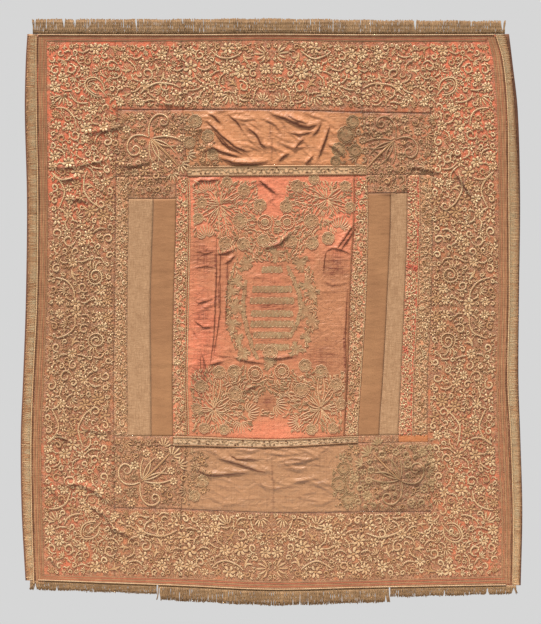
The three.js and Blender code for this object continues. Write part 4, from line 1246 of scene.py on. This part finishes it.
CORNERS = [  # name, root of the spray, its ways, bright thread, how bold, and the filling's reach
    ("top_left", -396, -338, 1, 1, BRIGHT, 0.84, (-505, -165, -528, -252)),
    ("top_right", 398, -345, -1, 1, GREEN, 0.62, (205, 512, -512, -262)),
    ("bottom_left", -424, -1453, 1, -1, BRIGHT, 0.8, (-508, -196, -1532, -1312)),
    ("bottom_right", 418, -1450, -1, -1, DUSK, 0.56, (186, 512, -1546, -1330)),
]
REACHES = {  # heights, and how far from the middle the work stops there
    "top_left": ([-430, -385, -340, -300, -250], [172, 176, 200, 236, 246]),
    "top_right": ([-430, -385, -340, -300, -250], [216, 222, 236, 252, 262]),
    "bottom_left": ([-1560, -1510, -1480, -1400, -1340], [262, 250, 208, 202, 236]),
    "bottom_right": ([-1560, -1510, -1450, -1400, -1340], [214, 202, 196, 206, 236]),
}
FIELD_DISCS = {  # flat flowers where a spray runs out over the satin: middle and radius
    "top_left": [(-208, -331, 17), (-250, -283, 19), (-193, -392, 15), (-268, -352, 17)],
    "top_right": [(240, -326, 24), (216, -374, 19), (262, -284, 18), (206, -412, 14), (270, -378, 18)],
    "bottom_left": [(-226, -1452, 17), (-252, -1500, 15)],
    "bottom_right": [(218, -1462, 22), (232, -1410, 18), (246, -1510, 18)],
}


def smooth(points, steps):
    """Evenly spaced places on a smooth curve through the points."""
    points = np.array(points, float)
    run = np.concatenate([[0], np.cumsum(np.hypot(*np.diff(points, axis=0).T))])
    at = np.linspace(0, run[-1], steps)
    return np.stack([through(run, points[:, 0], at), through(run, points[:, 1], at)], -1)


def corner(work, rng, x, z, flip, fall, main, fill, bold):
    """The large spray in a corner of the field: two scrolls and a fan of stems from one root.

    It gives back the places that its strokes take.
    """

    def at(u, v):
        return x + flip * u, z + fall * v

    def drawn(places, wide, high, thread_index, ends=0.4):
        places = np.stack([x + flip * places[:, 0], z + fall * places[:, 1]], -1)
        work.edged(places, wide, high, thread_index, ends)
        taken.extend(places)

    taken = []
    for loop in LOOPS:
        drawn(smooth(loop, 40), 5.4 * bold, 2.4, main, 0.5)
    for angle, long, bow in SPRAY_STEMS:
        drawn(spoke(0, 0, angle, 8, long, 10, bow), 4.4 * bold, 2.2, main, 0.4)
    drawn(spoke(0, 0, -0.125, 0, 128, 10, 0.02), 8.4 * bold, 2.4, DULL, 0.5)
    for u, v, r in SPRAY_FLOWERS:
        px, pz = at(u, v)
        rosette(work, px, pz, r, rng.uniform(0, 1), 7, main, fill)
        taken += [(px + a, pz + b) for a in (-6, 6) for b in (-6, 6)]
    for u, v, r, turn in SPRAY_FANS:
        px, pz = at(u, v)
        angle = turn * flip * fall + (0.5 if flip < 0 else 0)
        fan(work, px, pz, r, angle, flip, main, fill)
        taken += [(px + a, pz + b) for a in (-12, 0, 12) for b in (-12, 0, 12)]
    return taken


def field_work():
    """The four corner sprays, the flat flowers at their ends and the close small filling about them."""
    rng = np.random.default_rng(SEEDS["fields"])
    for name, x, z, flip, fall, main, bold, (left, right, low, high) in CORNERS:
        work = Stitches()

        def inside(gx, gz):
            stop = through(*REACHES[name], gz) + 9 * np.sin(gz / 9) + 5 * np.sin(gz / 4.1 + gx / 11)
            clear = (gz > low + 2) & (gz < high - 2) & (np.abs(gx) > stop)
            if "top" in name:
                strips = (gz < across("galloon_top_upper", gx) - 2) & (gx > -300) & (gx < 300)
                outer = (gx > 445) | (gx < -468) | (np.abs(gx) < 330)
                return clear & ~strips & ~((gz < across("galloon_top_lower", gx)) & outer)
            return clear & ((gz < across("galloon_bottom_lower", gx) - 2) | (gx < -335))

        room = Room(left - 20, right + 20, low - 20, high + 20, inside)
        for place in corner(work, rng, x, z, flip, fall, main, GREEN, bold):
            room.take(*place, 8.5)
        for px, pz, r in FIELD_DISCS[name]:
            disc(work, px, pz, r, rng.uniform(0, 1), main if "left" in name else DUSK, BAND)
            room.take(px, pz, r * 1.15)
        sizes = [(16, 80), (13, 300), (11, 500), (9, 900), (7, 1400), (5.5, 1800), (4.2, 1400), (3.2, 900)]
        for px, pz, r in room.fill(rng, sizes, 0.8):
            plain = rng.uniform() < (0.45 if main == BRIGHT else 0.75)
            tone = DUSK if main == DUSK else GREEN
            motif(work, rng, px, pz, r, tone if plain else DULL, tone)
        work.make(f"embroidery_{name}", "border")


CENTRE_FLOWERS = [  # kind, middle and radius
    ("disc", -91, -507, 17.9), ("disc", -39, -556, 17.9), ("disc", -104, -608, 20.9),
    ("ring", -23, -611, 23.9), ("disc", -29, -670, 17.9), ("disc", -94, -682, 17.9),
    ("disc", -153, -679, 17.9), ("feather", -218, -640, 23.9), ("disc", -240, -598, 15),
    ("disc", -146, -481, 15), ("disc", -228, -549, 15), ("feather", -214, -494, 20.9),
    ("disc", 136, -471, 15), ("disc", 81, -494, 17.9), ("disc", 46, -559, 17.9), ("ring", 49, -611, 23.9),
    ("disc", 127, -608, 20.9), ("feather", 224, -611, 23.9), ("disc", 62, -673, 17.9),
    ("disc", 130, -679, 17.9), ("disc", 182, -663, 17.9), ("disc", 254, -562, 15),
    ("disc", 237, -494, 15), ("disc", 20, -614, 7.5), ("leaf", 13, -715, 17.9), ("leaf", -84, -748, 19.4),
    ("leaf", 91, -744, 19.4), ("leaf", -114, -803, 17.5), ("leaf", -133, -835, 17.5),
    ("leaf", -117, -890, 20.5), ("leaf", -130, -942, 19), ("leaf", 114, -816, 19),
    ("leaf", 130, -842, 17.5), ("leaf", 110, -897, 20.5), ("leaf", 130, -933, 19),
    ("leaf", -110, -988, 15), ("leaf", 110, -982, 15), ("leaf", -94, -1037, 17.9),
    ("disc", -6, -1034, 20.9), ("leaf", 78, -1024, 17.9), ("leaf", -10, -1069, 16.4),
    ("disc", -172, -1098, 17.9), ("disc", -124, -1095, 17.9), ("ring", -55, -1102, 23.9),
    ("ring", 32, -1095, 23.9), ("disc", 107, -1076, 17.9), ("disc", 159, -1095, 17.9),
    ("disc", -231, -1144, 17.9), ("disc", -120, -1170, 20.9), ("disc", 94, -1157, 20.9),
    ("disc", 208, -1138, 17.9), ("feather", -62, -1222, 23.9), ("feather", 29, -1212, 23.9),
    ("feather", -101, -1277, 20.9), ("disc", -156, -1284, 15), ("feather", 68, -1261, 20.9),
    ("disc", 127, -1284, 15), ("disc", -244, -1216, 15), ("disc", 224, -1202, 15),
    ("disc", -221, -1280, 15), ("disc", 198, -1280, 15),
]
CENTRE_SPRAYS = [(-169, -556), (179, -536), (-188, -1219), (159, -1215)]
CENTRE_GARLANDS = [
    [(-84, -800), (-91, -846), (-93, -896), (-86, -940), (-74, -984), (-60, -1028), (-46, -1058)],
    [(50, -752), (66, -790), (84, -830), (92, -868), (91, -908), (76, -950), (58, -988)],
]
CENTRE_BANDS = [(-765, 34), (-829, 64), (-866, 72), (-908, 68), (-942, 70), (-978, 62), (-1017, 56)]


def sprays(work, rng):
    """The four radiating sprays and their stems to the flowers near them, as the places that they take."""
    taken = []
    for x, z in CENTRE_SPRAYS:
        for k in range(16):
            far = rng.uniform(28, 50)
            bow = rng.choice([-1, 1]) * rng.uniform(0.06, 0.2)
            ray = spoke(x, z, (k + rng.uniform(-0.2, 0.2)) / 16, 4, far, 8, bow)
            work.edged(ray, 2.2, 2.2, LINE, 0.55, 1.6)
        taken.append((x, z, 26.0))
        for _, fx, fz, r in CENTRE_FLOWERS:
            far = math.hypot(fx - x, fz - z)
            if far > 125:
                continue
            angle = math.atan2(fz - z, fx - x) / (2 * math.pi)
            for k in (-1, 1):
                stem = spoke(x, z, angle + 0.01 * k, 14, max(40.0, far - r * 1.1), 11, 0.08 * k)
                work.edged(stem, 2.1, 2.0, LINE, 0.6, 1.6)
                taken += [(*place, 3.0) for place in stem[3:]]
    return taken


def wreath(work, rng):
    """The flowers, leaves and rings of the centre panel, as the places that they take."""
    taken = []
    for kind, x, z, r in CENTRE_FLOWERS:
        angle = rng.uniform(0, 1)
        taken.append((x, z, r * 1.15))
        if kind == "feather":
            feather(work, x, z, r * 0.9, angle, LINE)
        elif kind == "leaf":
            ragged(work, x, z, r * 1.2, angle, LINE, BAND)
        else:
            (ring if kind == "ring" else disc)(work, x, z, r, angle, LINE, BAND)
    return taken


def garlands(work, rng):
    """The two flat leafy bands that run down between the wreath and the zigzags."""
    for garland in CENTRE_GARLANDS:
        places = smooth(garland, 30)
        work.add(places + 1.5 * np.sin(places[:, ::-1] / 8), 15, 0.6, BAND, 0.6, 0.1)
        leafed(work, places, 2, 16, BAND)
        for place in places[1:-1]:
            for side in (-1, 1):
                fleck = spoke(place[0] + 3.6 * side, place[1], 0.25 + rng.uniform(-0.12, 0.12), -3, 3, 4, 0.2)
                work.edged(fleck, 1.8, 0.8, LINE if rng.uniform() < 0.4 else DUSK, 0.5, 1.2)


def zigzags(work, rng):
    """Plain zigzag bands inside the wreath, each with dashes above and below."""
    for z, half in CENTRE_BANDS:
        middle = line(-half, z, half, z, 24)
        work.add(middle + [0, 1] * np.sin(middle[:, :1] / 7 + z), 22, 0.4, BAND, 0.8, 0.1)
        count = 2 * int(half / 6)
        x = np.linspace(-half, half, count + 1) + 1.2 * np.sin(np.arange(count + 1) * 1.7 + z)
        tooth = np.where(np.arange(count + 1) % 2, 6.5, -6.5) + 1.3 * np.sin(x / 11 + z)
        work.edged(np.stack([x, z + tooth], -1), 2.6, 0.9, ASH, 0.9, 2.0)
        for k in (-1, 1):
            for start in np.arange(-half, half - 8, 13.0):
                at = start + rng.uniform(0, 5)
                dash = line(at, z + 9.5 * k, at + rng.uniform(5, 9), z + 9.5 * k + rng.uniform(-1, 1), 4)
                work.edged(dash, 2.0, 0.8, DUSK if rng.uniform() < 0.5 else LINE, 0.5, 1.2)


def centre_filling(work, rng, taken):
    """Short strokes about the flowers, turned away from the nearest spray."""

    def inside(x, z):
        wavy = 12 * np.sin(x / 19) + 7 * np.sin(x / 8.3)
        near = (z > -700 + wavy) & ((np.abs(x) > 52 - (z + 470) * -0.17) | (z < -590))
        near &= ~((x < -176) & (z < -660 + wavy / 2)) & ~((x > 150) & (z < -640 + wavy / 2))
        near |= (((x + 3) / 150) ** 2 + ((z + 880) / 236) ** 2 < 1) & (np.abs(x + 3) > 106)
        open_place = (x + 13) ** 2 + (z + 1196) ** 2 < 28**2
        near |= (z < -1090 + wavy) & ~((np.abs(x) < 62) & (z < -1244)) & ~open_place
        near |= (np.abs(x) < 90) & (z > -740) & (z < -700)
        edge = (x > down("brocade_left", z) + 14) & (x < down("centre_right", z) - 10)
        return near & edge & (z < -476) & (z > -1296)

    room = Room(-300, 280, -1310, -460, inside)
    for x, z, r in taken:
        room.take(x, z, r)
    sizes = [(9, 500), (7.5, 1400), (6, 2600), (4.8, 3400), (3.6, 4000)]
    hubs = np.array(CENTRE_SPRAYS, float)
    for x, z, r in room.fill(rng, sizes, 0.2):
        hub = hubs[np.argmin(np.hypot(hubs[:, 0] - x, hubs[:, 1] - z))]
        way = math.atan2(z - hub[1], x - hub[0]) / (2 * math.pi) + rng.normal(0, 0.09)
        side = spoke(0, 0, way + 0.25, 0, 1, 2)[1]
        count = 3 if r > 6.5 else 2 if r > 4.2 else 1
        for k in range(count):
            off = (k - (count - 1) / 2) * 4.4
            bow = rng.choice([-1, 1]) * rng.uniform(0.1, 0.4)
            at = spoke(x + side[0] * off, z + side[1] * off, way, -r, r, 5, bow)
            work.edged(at, 2.2, 1.7, LINE if rng.uniform() < 0.55 else DUSK, 0.5, 1.3)


def centre_work():
    """The centre panel's sprays, wreath, plain bands and close filling, with a line down each side."""
    rng = np.random.default_rng(SEEDS["centre"])
    work = Stitches()
    taken = sprays(work, rng) + wreath(work, rng)
    garlands(work, rng)
    zigzags(work, rng)
    centre_filling(work, rng, taken)
    z = np.linspace(-468, -1300, 90)
    for line_name, off in (("brocade_left", 4), ("centre_right", -5)):
        places = np.stack([down(line_name, z) + off + 0.6 * np.sin(z / 9), z], -1)
        work.add(places, 4.0, 2.0, BRIGHT if off > 0 else SALMON, 0.9)
    work.make("embroidery_centre", "centre")


STRIPS = [  # node, its left, right and upper lines, the sheet's step, cloth and slot
    ("lace_left", "border_left", "lace_left", "galloon_top_lower", 6, SILK["pale"], "brocade"),
    ("linen_left", "lace_left", "linen_left", "strips_top", 6, LINEN, "linen"),
    ("tan_left", "linen_left", "tan_left", "strips_top", 6, TWILL, "tan"),
    ("brocade_left", "tan_left", "brocade_left", "galloon_top_lower", 6, SILK["coral"], "brocade"),
    ("centre_panel", "brocade_left", "centre_right", "galloon_top_lower", 3.6, SILK["centre"], "centre"),
    ("brocade_right", "centre_right", "brocade_right", "galloon_top_lower", 6, SILK["coral"], "brocade"),
    ("tan_right", "brocade_right", "tan_right", "strips_top", 6, TWILL, "tan"),
    ("linen_right", "tan_right", "linen_right", "strips_top", 6, LINEN, "linen"),
    ("red_right", "linen_right", "red_right", "galloon_top_lower", 6, SILK["coral"], "red"),
    ("grey_right", "red_right", "border_right", "galloon_top_lower", 6, SILK["pale"], "brocade"),
]


def strip_work():
    """Close embroidery on the narrow strips of brocade and of red satin."""
    rng = np.random.default_rng(SEEDS["strips"])
    for node, left, right, _, _, _, slot in STRIPS:
        if slot not in ("brocade", "red"):
            continue
        red = slot == "red"
        fill = CORAL if red else DULL
        work = Stitches()

        def inside(x, z):
            across_it = (x > down(left, z) + 1) & (x < down(right, z) - 1)
            return across_it & (z < -466) & (z > -1304)

        low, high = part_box(node)
        room = Room(low.x / MM - 4, high.x / MM + 4, -1310, -455, inside)
        sizes = [(11, 200), (8.5, 900), (6.5, 2000), (5, 3000), (3.8, 3000), (2.8, 3000)]
        for x, z, r in room.fill(rng, sizes, 0.2):
            plain = rng.uniform() < (0.93 if red else 0.8)
            motif(work, rng, x, z, r, BRIGHT if plain else fill, fill)
        z = np.linspace(-466, -1302, 110)
        if red or "brocade" in node:
            work.add(np.stack([down(right, z) - 3 + 0.5 * np.sin(z / 7), z], -1), 3.2, 1.6, BRIGHT, 0.9)
        if red:
            work.add(np.stack([down(right, z) - 7 + 0.9 * np.sin(z / 11), z], -1), 4.0, 1.2, fill, 0.9)
        work.make(f"embroidery_{node}", slot)


GALLOONS = [  # node, its left, upper and lower lines, its cloth, and the share of its dark marks
    ("galloon_top", "brocade_left", "galloon_top_upper", "galloon_top_lower", GALLOON_TOP, 0.25),
    ("galloon_bottom", "tan_left", "strips_bottom", "galloon_bottom_lower", GALLOON_LOW, 0.4),
]
OVAL_STEP = 15.0  # from one oval of a galloon to the next


def galloon_face(x, z):
    """How far forward a galloon's face stands."""
    return cloth.forward(x, z) + GALLOON_THICK - CLOTH_THICK


def galloon_work():
    """The galloons' raised edges, ovals and dark marks."""
    rng = np.random.default_rng(SEEDS["galloons"])
    for name, left, upper, lower, _, marked in GALLOONS:
        work = Stitches()
        x0, x1 = down(left, across(upper, 0)), down("brocade_right", across(upper, 0))
        x = np.linspace(x0 + 3, x1 - 3, 90)
        for share in (0.1, 0.9):
            z = across(upper, x) * (1 - share) + across(lower, x) * share
            work.add(np.stack([x, z], -1), 4.6, 1.8, DULL, 0.9, 0.8)
        for k in range(int((x1 - x0) / OVAL_STEP)):
            cx = x0 + (k + 0.5) * OVAL_STEP
            top, low = across(upper, cx), across(lower, cx)
            cz, r = (top + low) / 2, abs(top - low) * 0.24
            if rng.uniform() < 0.6:
                work.add(arc(cx, cz, r, rng.uniform(0, 1), 0.8, 9, squash=0.8), 3.4, 1.4, ASH, 0.7, 0.8)
            else:
                work.add(line(cx - 6, cz, cx + 6, cz, 5, rng.uniform(-0.4, 0.4)), 4.6, 1.6, BRIGHT, 0.4, 0.8)
            for _ in range(3):
                if rng.uniform() < marked:
                    x, z = cx + rng.uniform(-8, 8), cz + rng.uniform(-11, 11)
                    work.add(line(x - 3, z, x + 3, z, 4, 0.2), rng.uniform(2.6, 4.6), 1.2, EDGE, 0.4, 1.2)
        work.make(f"{name}_relief", "galloon")


FREE_FRINGES = [  # node, its edge and way, left and right ends, reach at its ends and middle, and seed
    ("fringe_top", "top_edge", 1, -777, 756, [47, 48, 41], 51),
    ("fringe_bottom_left", "bottom_edge", -1, -786, -375, [29, 28, 28], 52),
    ("fringe_bottom_centre", "bottom_edge", -1, -370, 379, [47, 49, 47], 53),
    ("fringe_bottom_right", "bottom_edge", -1, 384, 793, [30, 29, 26], 54),
]
FRAYED = {  # places where a fringe has parted, and how widely
    "fringe_top": [(-676, 1), (-640, 0.8), (-440, 0.6), (-290, 0.7), (464, 0.8), (748, 0.9), (-770, 0.6)],
    "fringe_bottom_left": [(-770, 1), (-700, 0.6)],
    "fringe_bottom_centre": [(-365, 0.8), (-180, 0.4), (90, 0.5), (370, 0.8)],
    "fringe_bottom_right": [(560, 0.6), (700, 0.8), (785, 1)],
}
FREE_LAYERS = 3
FREE_STEP, SIDE_STEP = 3.3, 3.0  # from one thread to the next
THREAD_PLACES = 5  # places along each thread
HEADING_TONE = 0.25


def closed_strip(gx, gz, thick):
    """A thin closed strip over a grid of places, its face forward."""
    m, n = gx.shape
    y = FRONT + hills(SWELLS, gx, gz)
    front = np.stack([gx, -(y + thick), gz], -1).reshape(-1, 3)
    back = np.stack([gx, -y, gz], -1).reshape(-1, 3)
    at = np.arange(m * n).reshape(m, n)
    faces = quads(at).tolist() + (quads(at)[:, ::-1] + m * n).tolist()
    loop = [*at[:, 0], *at[-1, 1:], *at[-2::-1, -1], *at[0, -2:0:-1]]
    for a, b in zip(loop, loop[1:] + loop[:1]):
        faces.append([int(a), int(a) + m * n, int(b) + m * n, int(b)])
    return np.concatenate([front, back]), faces


def strands(node, paths, thick, face, tone, material, heading, dark_ends=0.6):
    """Many three-sided threads along paths of (x, z), with the woven heading that they hang from."""
    k, n, _ = paths.shape
    along = np.gradient(paths, axis=1)
    along /= np.linalg.norm(along, axis=2, keepdims=True)
    out = np.stack([-along[..., 1], along[..., 0]], -1)
    taper = np.linspace(1.0, 0.75, n)[None, :] * thick[:, None]
    corners = []
    for turn in (0.25, 0.583, 0.917):
        side, fore = math.cos(2 * math.pi * turn), math.sin(2 * math.pi * turn)
        flat = paths + out * (side * taper)[..., None]
        y = face(paths[..., 0], paths[..., 1]) + fore * taper
        corners.append(np.stack([flat[..., 0], -y, flat[..., 1]], -1))
    points = np.stack(corners, 2).reshape(-1, 3)
    index = np.arange(k * n * 3).reshape(k, n, 3)
    ring = np.roll(index, -1, axis=2)
    walls = np.stack([index[:, :-1], ring[:, :-1], ring[:, 1:], index[:, 1:]], -1).reshape(-1, 4).tolist()
    ends = index[:, -1].tolist() + index[:, 0, ::-1].tolist()
    tones = np.repeat(tone[:, None] - dark_ends * np.linspace(0, 1, n) ** 4, 3)
    base, rows = heading
    faces = walls + ends + [[i + len(points) for i in row] for row in rows]
    points = np.concatenate([points, base])
    uv = np.concatenate([thread_uv(paths), base[:, [0, 2]] * 0.3])
    tones = np.concatenate([tones, np.full(len(base), HEADING_TONE)])
    piece = solid(f"{node}_threads", points, faces, [material], uv=uv, held={"tone": tones})
    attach(piece, "root")
    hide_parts(node)
    return piece


def free_fringe(node, edge, way, x0, x1, reach, seed):
    """Fringe that hangs free of an edge, in layers of uneven threads, frayed and parted here and there."""
    rng = np.random.default_rng(seed)
    paths, thick, tone = [], [], []
    for layer in range(FREE_LAYERS):
        count = int((x1 - x0) / FREE_STEP)
        x = np.linspace(x0 + 2, x1 - 2, count) + rng.uniform(-0.8, 0.8, count)
        far = through([x0, (x0 + x1) / 2, x1], reach, x) + rng.normal(0, 1.1, count)
        far += 1.5 * np.sin(x / 23 + layer)
        far += np.where(rng.uniform(size=count) < 0.06, rng.uniform(-9, 4, count), 0)
        lean = 0.9 * np.sin(x / 31) + 0.4 * np.sin(x / 11) + rng.normal(0, 1.1, count)
        for place, side in FRAYED.get(node, ()):
            lean += side * 6 * np.exp(-(((x - place) / 12) ** 2)) * np.sign(x - place + 0.1)
        t = np.linspace(0, 1, THREAD_PLACES)[None, :]
        px = x[:, None] + lean[:, None] * t**1.6 + 0.7 * np.sin(9 * t + x[:, None])
        pz = across(edge, px) + way * (GAP + 1 + (far[:, None] - 1) * t)
        paths.append(np.stack([px, pz], -1))
        thick.append(rng.uniform(1.7, 2.3, count))
        lock = 0.5 + 0.25 * np.sin(x / 9 + 5 * layer) + 0.15 * np.sin(x / 37)
        lock += 0.15 * (layer - 1) - (0.22 if way < 0 else 0.0)
        tone.append(np.clip(lock + rng.normal(0, 0.2, count), -0.2, 1))
    x = np.linspace(x0, x1, 3 * int((x1 - x0) / 24) + 1)
    share = np.linspace(0, 1, 4)[:, None]
    gx = np.broadcast_to(x, (4, len(x)))
    gz = across(edge, gx) + way * (GAP + HEADING_DEEP * share)
    if way > 0:
        gz = gz[::-1]
    base = closed_strip(gx, gz, 1.6)

    def face(px, pz):
        depth = np.clip(np.abs(pz - across(edge, px)) / 50, 0, 1)
        return FRONT + 1.1 + hills(SWELLS, px, across(edge, px)) + 1.2 * np.sin(px / 27) * depth

    paths, thick, tone = (np.concatenate(column) for column in (paths, thick, tone))
    strands(node, paths, thick, face, tone, FRINGE, base)


def side_fringe(node, inner, outer, seed):
    """Fringe that lies flat over the lining's margin, its threads going straight out."""
    rng = np.random.default_rng(seed)
    z = np.arange(-3, -1786, -SIDE_STEP)
    count = len(z)
    slant = 4 * np.sin(z / 70) + 2.5 * np.sin(z / 23) + 7 * np.exp(-(((z + 220) / 50) ** 2))
    slant += 7 * np.exp(-(((z + 510) / 40) ** 2))
    t = np.linspace(0, 1, THREAD_PLACES)[None, :]
    px_in, px_out = down(inner, z), down(outer, z)
    far = px_out + rng.normal(0, 1.3, count)
    px = px_in[:, None] + (far - px_in)[:, None] * t
    pz = z[:, None] - (slant + rng.normal(0, 1.2, count))[:, None] * t
    pz = np.clip(pz, across("bottom_edge", px) + 2, across("top_edge", px) - 2)
    shine = 1.3 if "right" in node else 0.9
    tone = np.clip(shine + 0.25 * np.sin(z / 21) + 0.3 * np.sin(z / 6.4) + rng.normal(0, 0.3, count), -0.3, 1)
    heights = np.linspace(-2, -1790, 3 * 70 + 1)[:, None]
    share = np.linspace(0, 1, 4)[None, :]
    left, right = (inner, outer) if "right" in node else (outer, inner)
    gx = down(left, heights) * (1 - share) + down(right, heights) * share
    gz = np.clip(np.broadcast_to(heights, gx.shape), across("bottom_edge", gx), across("top_edge", gx))
    base = closed_strip(gx, gz, 1.0)

    def face(x, z):
        return FRONT + 1.7 + hills(SWELLS, x, z)

    paths = np.stack([px, pz], -1)
    thick = rng.uniform(1.5, 1.9, count)
    strands(node, paths, thick, face, tone, SIDE_FRINGE, base, 1.3)


WIDTHS = {  # the three loom widths of the satin: their left and right lines
    "left": ("border_left", "brocade_left"),
    "centre": ("brocade_left", "brocade_right"),
    "right": ("brocade_right", "border_right"),
}
FIELDS = [  # node, the spans between four lines that it covers, the sheet's step, cloth and slot
    ("top_left", [("border_left", "brocade_left", "seam_top", "galloon_top_lower"),
                  ("lace_left", "tan_left", "galloon_top_lower", "strips_top")],
     5, "corner", "border"),
    ("top_centre", [("brocade_left", "brocade_right", "seam_top", "galloon_top_upper")], 3.2, "top", "satin"),
    ("top_right", [("brocade_right", "border_right", "seam_top", "galloon_top_lower"),
                   ("brocade_right", "linen_right", "galloon_top_lower", "strips_top")],
     5, "corner", "border"),
    ("bottom_left", [("border_left", "brocade_left", "galloon_bottom_lower", "seam_bottom"),
                     ("border_left", "tan_left", "strips_bottom", "galloon_bottom_lower")],
     5, "corner", "border"),
    ("bottom_centre", [("brocade_left", "brocade_right", "galloon_bottom_lower", "seam_bottom")],
     3.4, "low", "satin"),
    ("bottom_right", [("brocade_right", "border_right", "galloon_bottom_lower", "seam_bottom"),
                      ("brocade_right", "linen_right", "strips_bottom", "galloon_bottom_lower")],
     5, "corner", "border"),
]


def lining_back(x, z):
    """How far forward the lining's back stands."""
    return hills(SWELLS, x, z)


def lining_face(x, z):
    """How far forward the lining's face stands."""
    return LINING_THICK + hills(SWELLS, x, z)


def sheets():
    """Every piece of cloth, over its solid."""
    sides = {"left": ("cloth_left", "border_left"), "right": ("border_right", "cloth_right")}
    for side, (left, right) in sides.items():
        sheet(f"border_{side}", [(left, right, "top_edge", "bottom_edge")], 7.5, SILK["border"], "border")
    for end, upper, lower in (("top", "top_edge", "seam_top"), ("bottom", "seam_bottom", "bottom_edge")):
        for part, (left, right) in WIDTHS.items():
            sheet(f"border_{end}_{part}", [(left, right, upper, lower)], 6.5, SILK["border"], "border")
    for name, spans, step, silk, slot in FIELDS:
        sheet(f"field_{name}", spans, step, SILK[silk], slot)
    for node, left, right, upper, step, material, slot in STRIPS:
        sheet(node, [(left, right, upper, "strips_bottom")], step, material, slot)
    slip = ("linen_right", "border_right", "strips_bottom", "galloon_bottom_lower")
    sheet("slip_right", [slip], 5, SILK["orange"], "satin")
    for name, left, upper, lower, material, _ in GALLOONS:
        sheet(name, [(left, "brocade_right", upper, lower)], 5, material, "galloon", galloon_face)
    whole = ("lining_left", "lining_right", "top_edge", "bottom_edge")
    sheet("lining", [whole], 19, LINING, "lining", lining_face, lining_back, 0.0)


def floor():
    """A pale floor under the curtain."""
    mesh = bpy.data.meshes.new("floor")
    mesh.from_pydata(FLOOR, [], [(0, 1, 2, 3)])
    stage = bpy.data.objects.new("floor", mesh)
    bpy.context.scene.collection.objects.link(stage)
    paint = Shade("floor_paint", 0.8)
    paint.colour = paint.mix(paint.noise((2, 2, 2)), (216, 216, 214), (222, 222, 221))
    mesh.materials.append(paint.finish())


def backdrop():
    """A plain pale world, which lights the curtain less than it shows."""
    world = bpy.data.worlds.new("studio")
    world.use_nodes = True
    seen = world.node_tree.nodes["Background"]
    seen.inputs["Color"].default_value = srgb(214, 214, 214)
    lit = world.node_tree.nodes.new("ShaderNodeBackground")
    lit.inputs["Color"].default_value = srgb(214, 214, 214)
    lit.inputs["Strength"].default_value = AMBIENT
    ray = world.node_tree.nodes.new("ShaderNodeLightPath")
    either = world.node_tree.nodes.new("ShaderNodeMixShader")
    links = world.node_tree.links
    links.new(ray.outputs["Is Camera Ray"], either.inputs[0])
    links.new(lit.outputs[0], either.inputs[1])
    links.new(seen.outputs[0], either.inputs[2])
    links.new(either.outputs[0], world.node_tree.nodes["World Output"].inputs["Surface"])
    bpy.context.scene.world = world


def aimed(name, data, spot, turns):
    """A lamp or camera at a spot, with its turns."""
    made = bpy.data.objects.new(name, data)
    bpy.context.scene.collection.objects.link(made)
    made.location = spot
    made.rotation_euler = turns
    return made


def sun():
    """Low sun from above, which grazes the cloth."""
    lamp = bpy.data.lights.new("above", "SUN")
    lamp.energy, lamp.angle = SUN_POWER, math.radians(SUN_DEGREES)
    lamp.color = (1.0, 0.97, 0.93)
    way = np.array(SUN_AT, float) - np.array(SUN_FROM, float)
    tilt = math.atan2(math.hypot(way[0], way[1]), -way[2])
    aimed("above", lamp, SUN_FROM, (tilt, 0, math.atan2(way[0], -way[1]) + math.pi))


def view():
    """The camera, square to the curtain."""
    lens = bpy.data.cameras.new("camera")
    lens.sensor_fit = "VERTICAL"
    lens.sensor_height = SENSOR_HIGH
    lens.lens = SENSOR_HIGH * DISTANCE / (FRAME_HIGH * MM_PER_PIXEL)
    lens.clip_end = 40
    spot = (VIEW_X * MM, -DISTANCE * MM, VIEW_Z * MM)
    bpy.context.scene.camera = aimed("camera", lens, spot, (math.radians(90), 0, 0))
    bpy.context.scene.view_settings.view_transform = "Standard"


floor()
backdrop()
sun()
view()
sheets()
border_work()
field_work()
centre_work()
strip_work()
galloon_work()
fold_shadow_lines()
for row in FREE_FRINGES:
    free_fringe(*row)
side_fringe("fringe_left", "cloth_left", "fringe_left", 55)
side_fringe("fringe_right", "cloth_right", "fringe_right", 56)
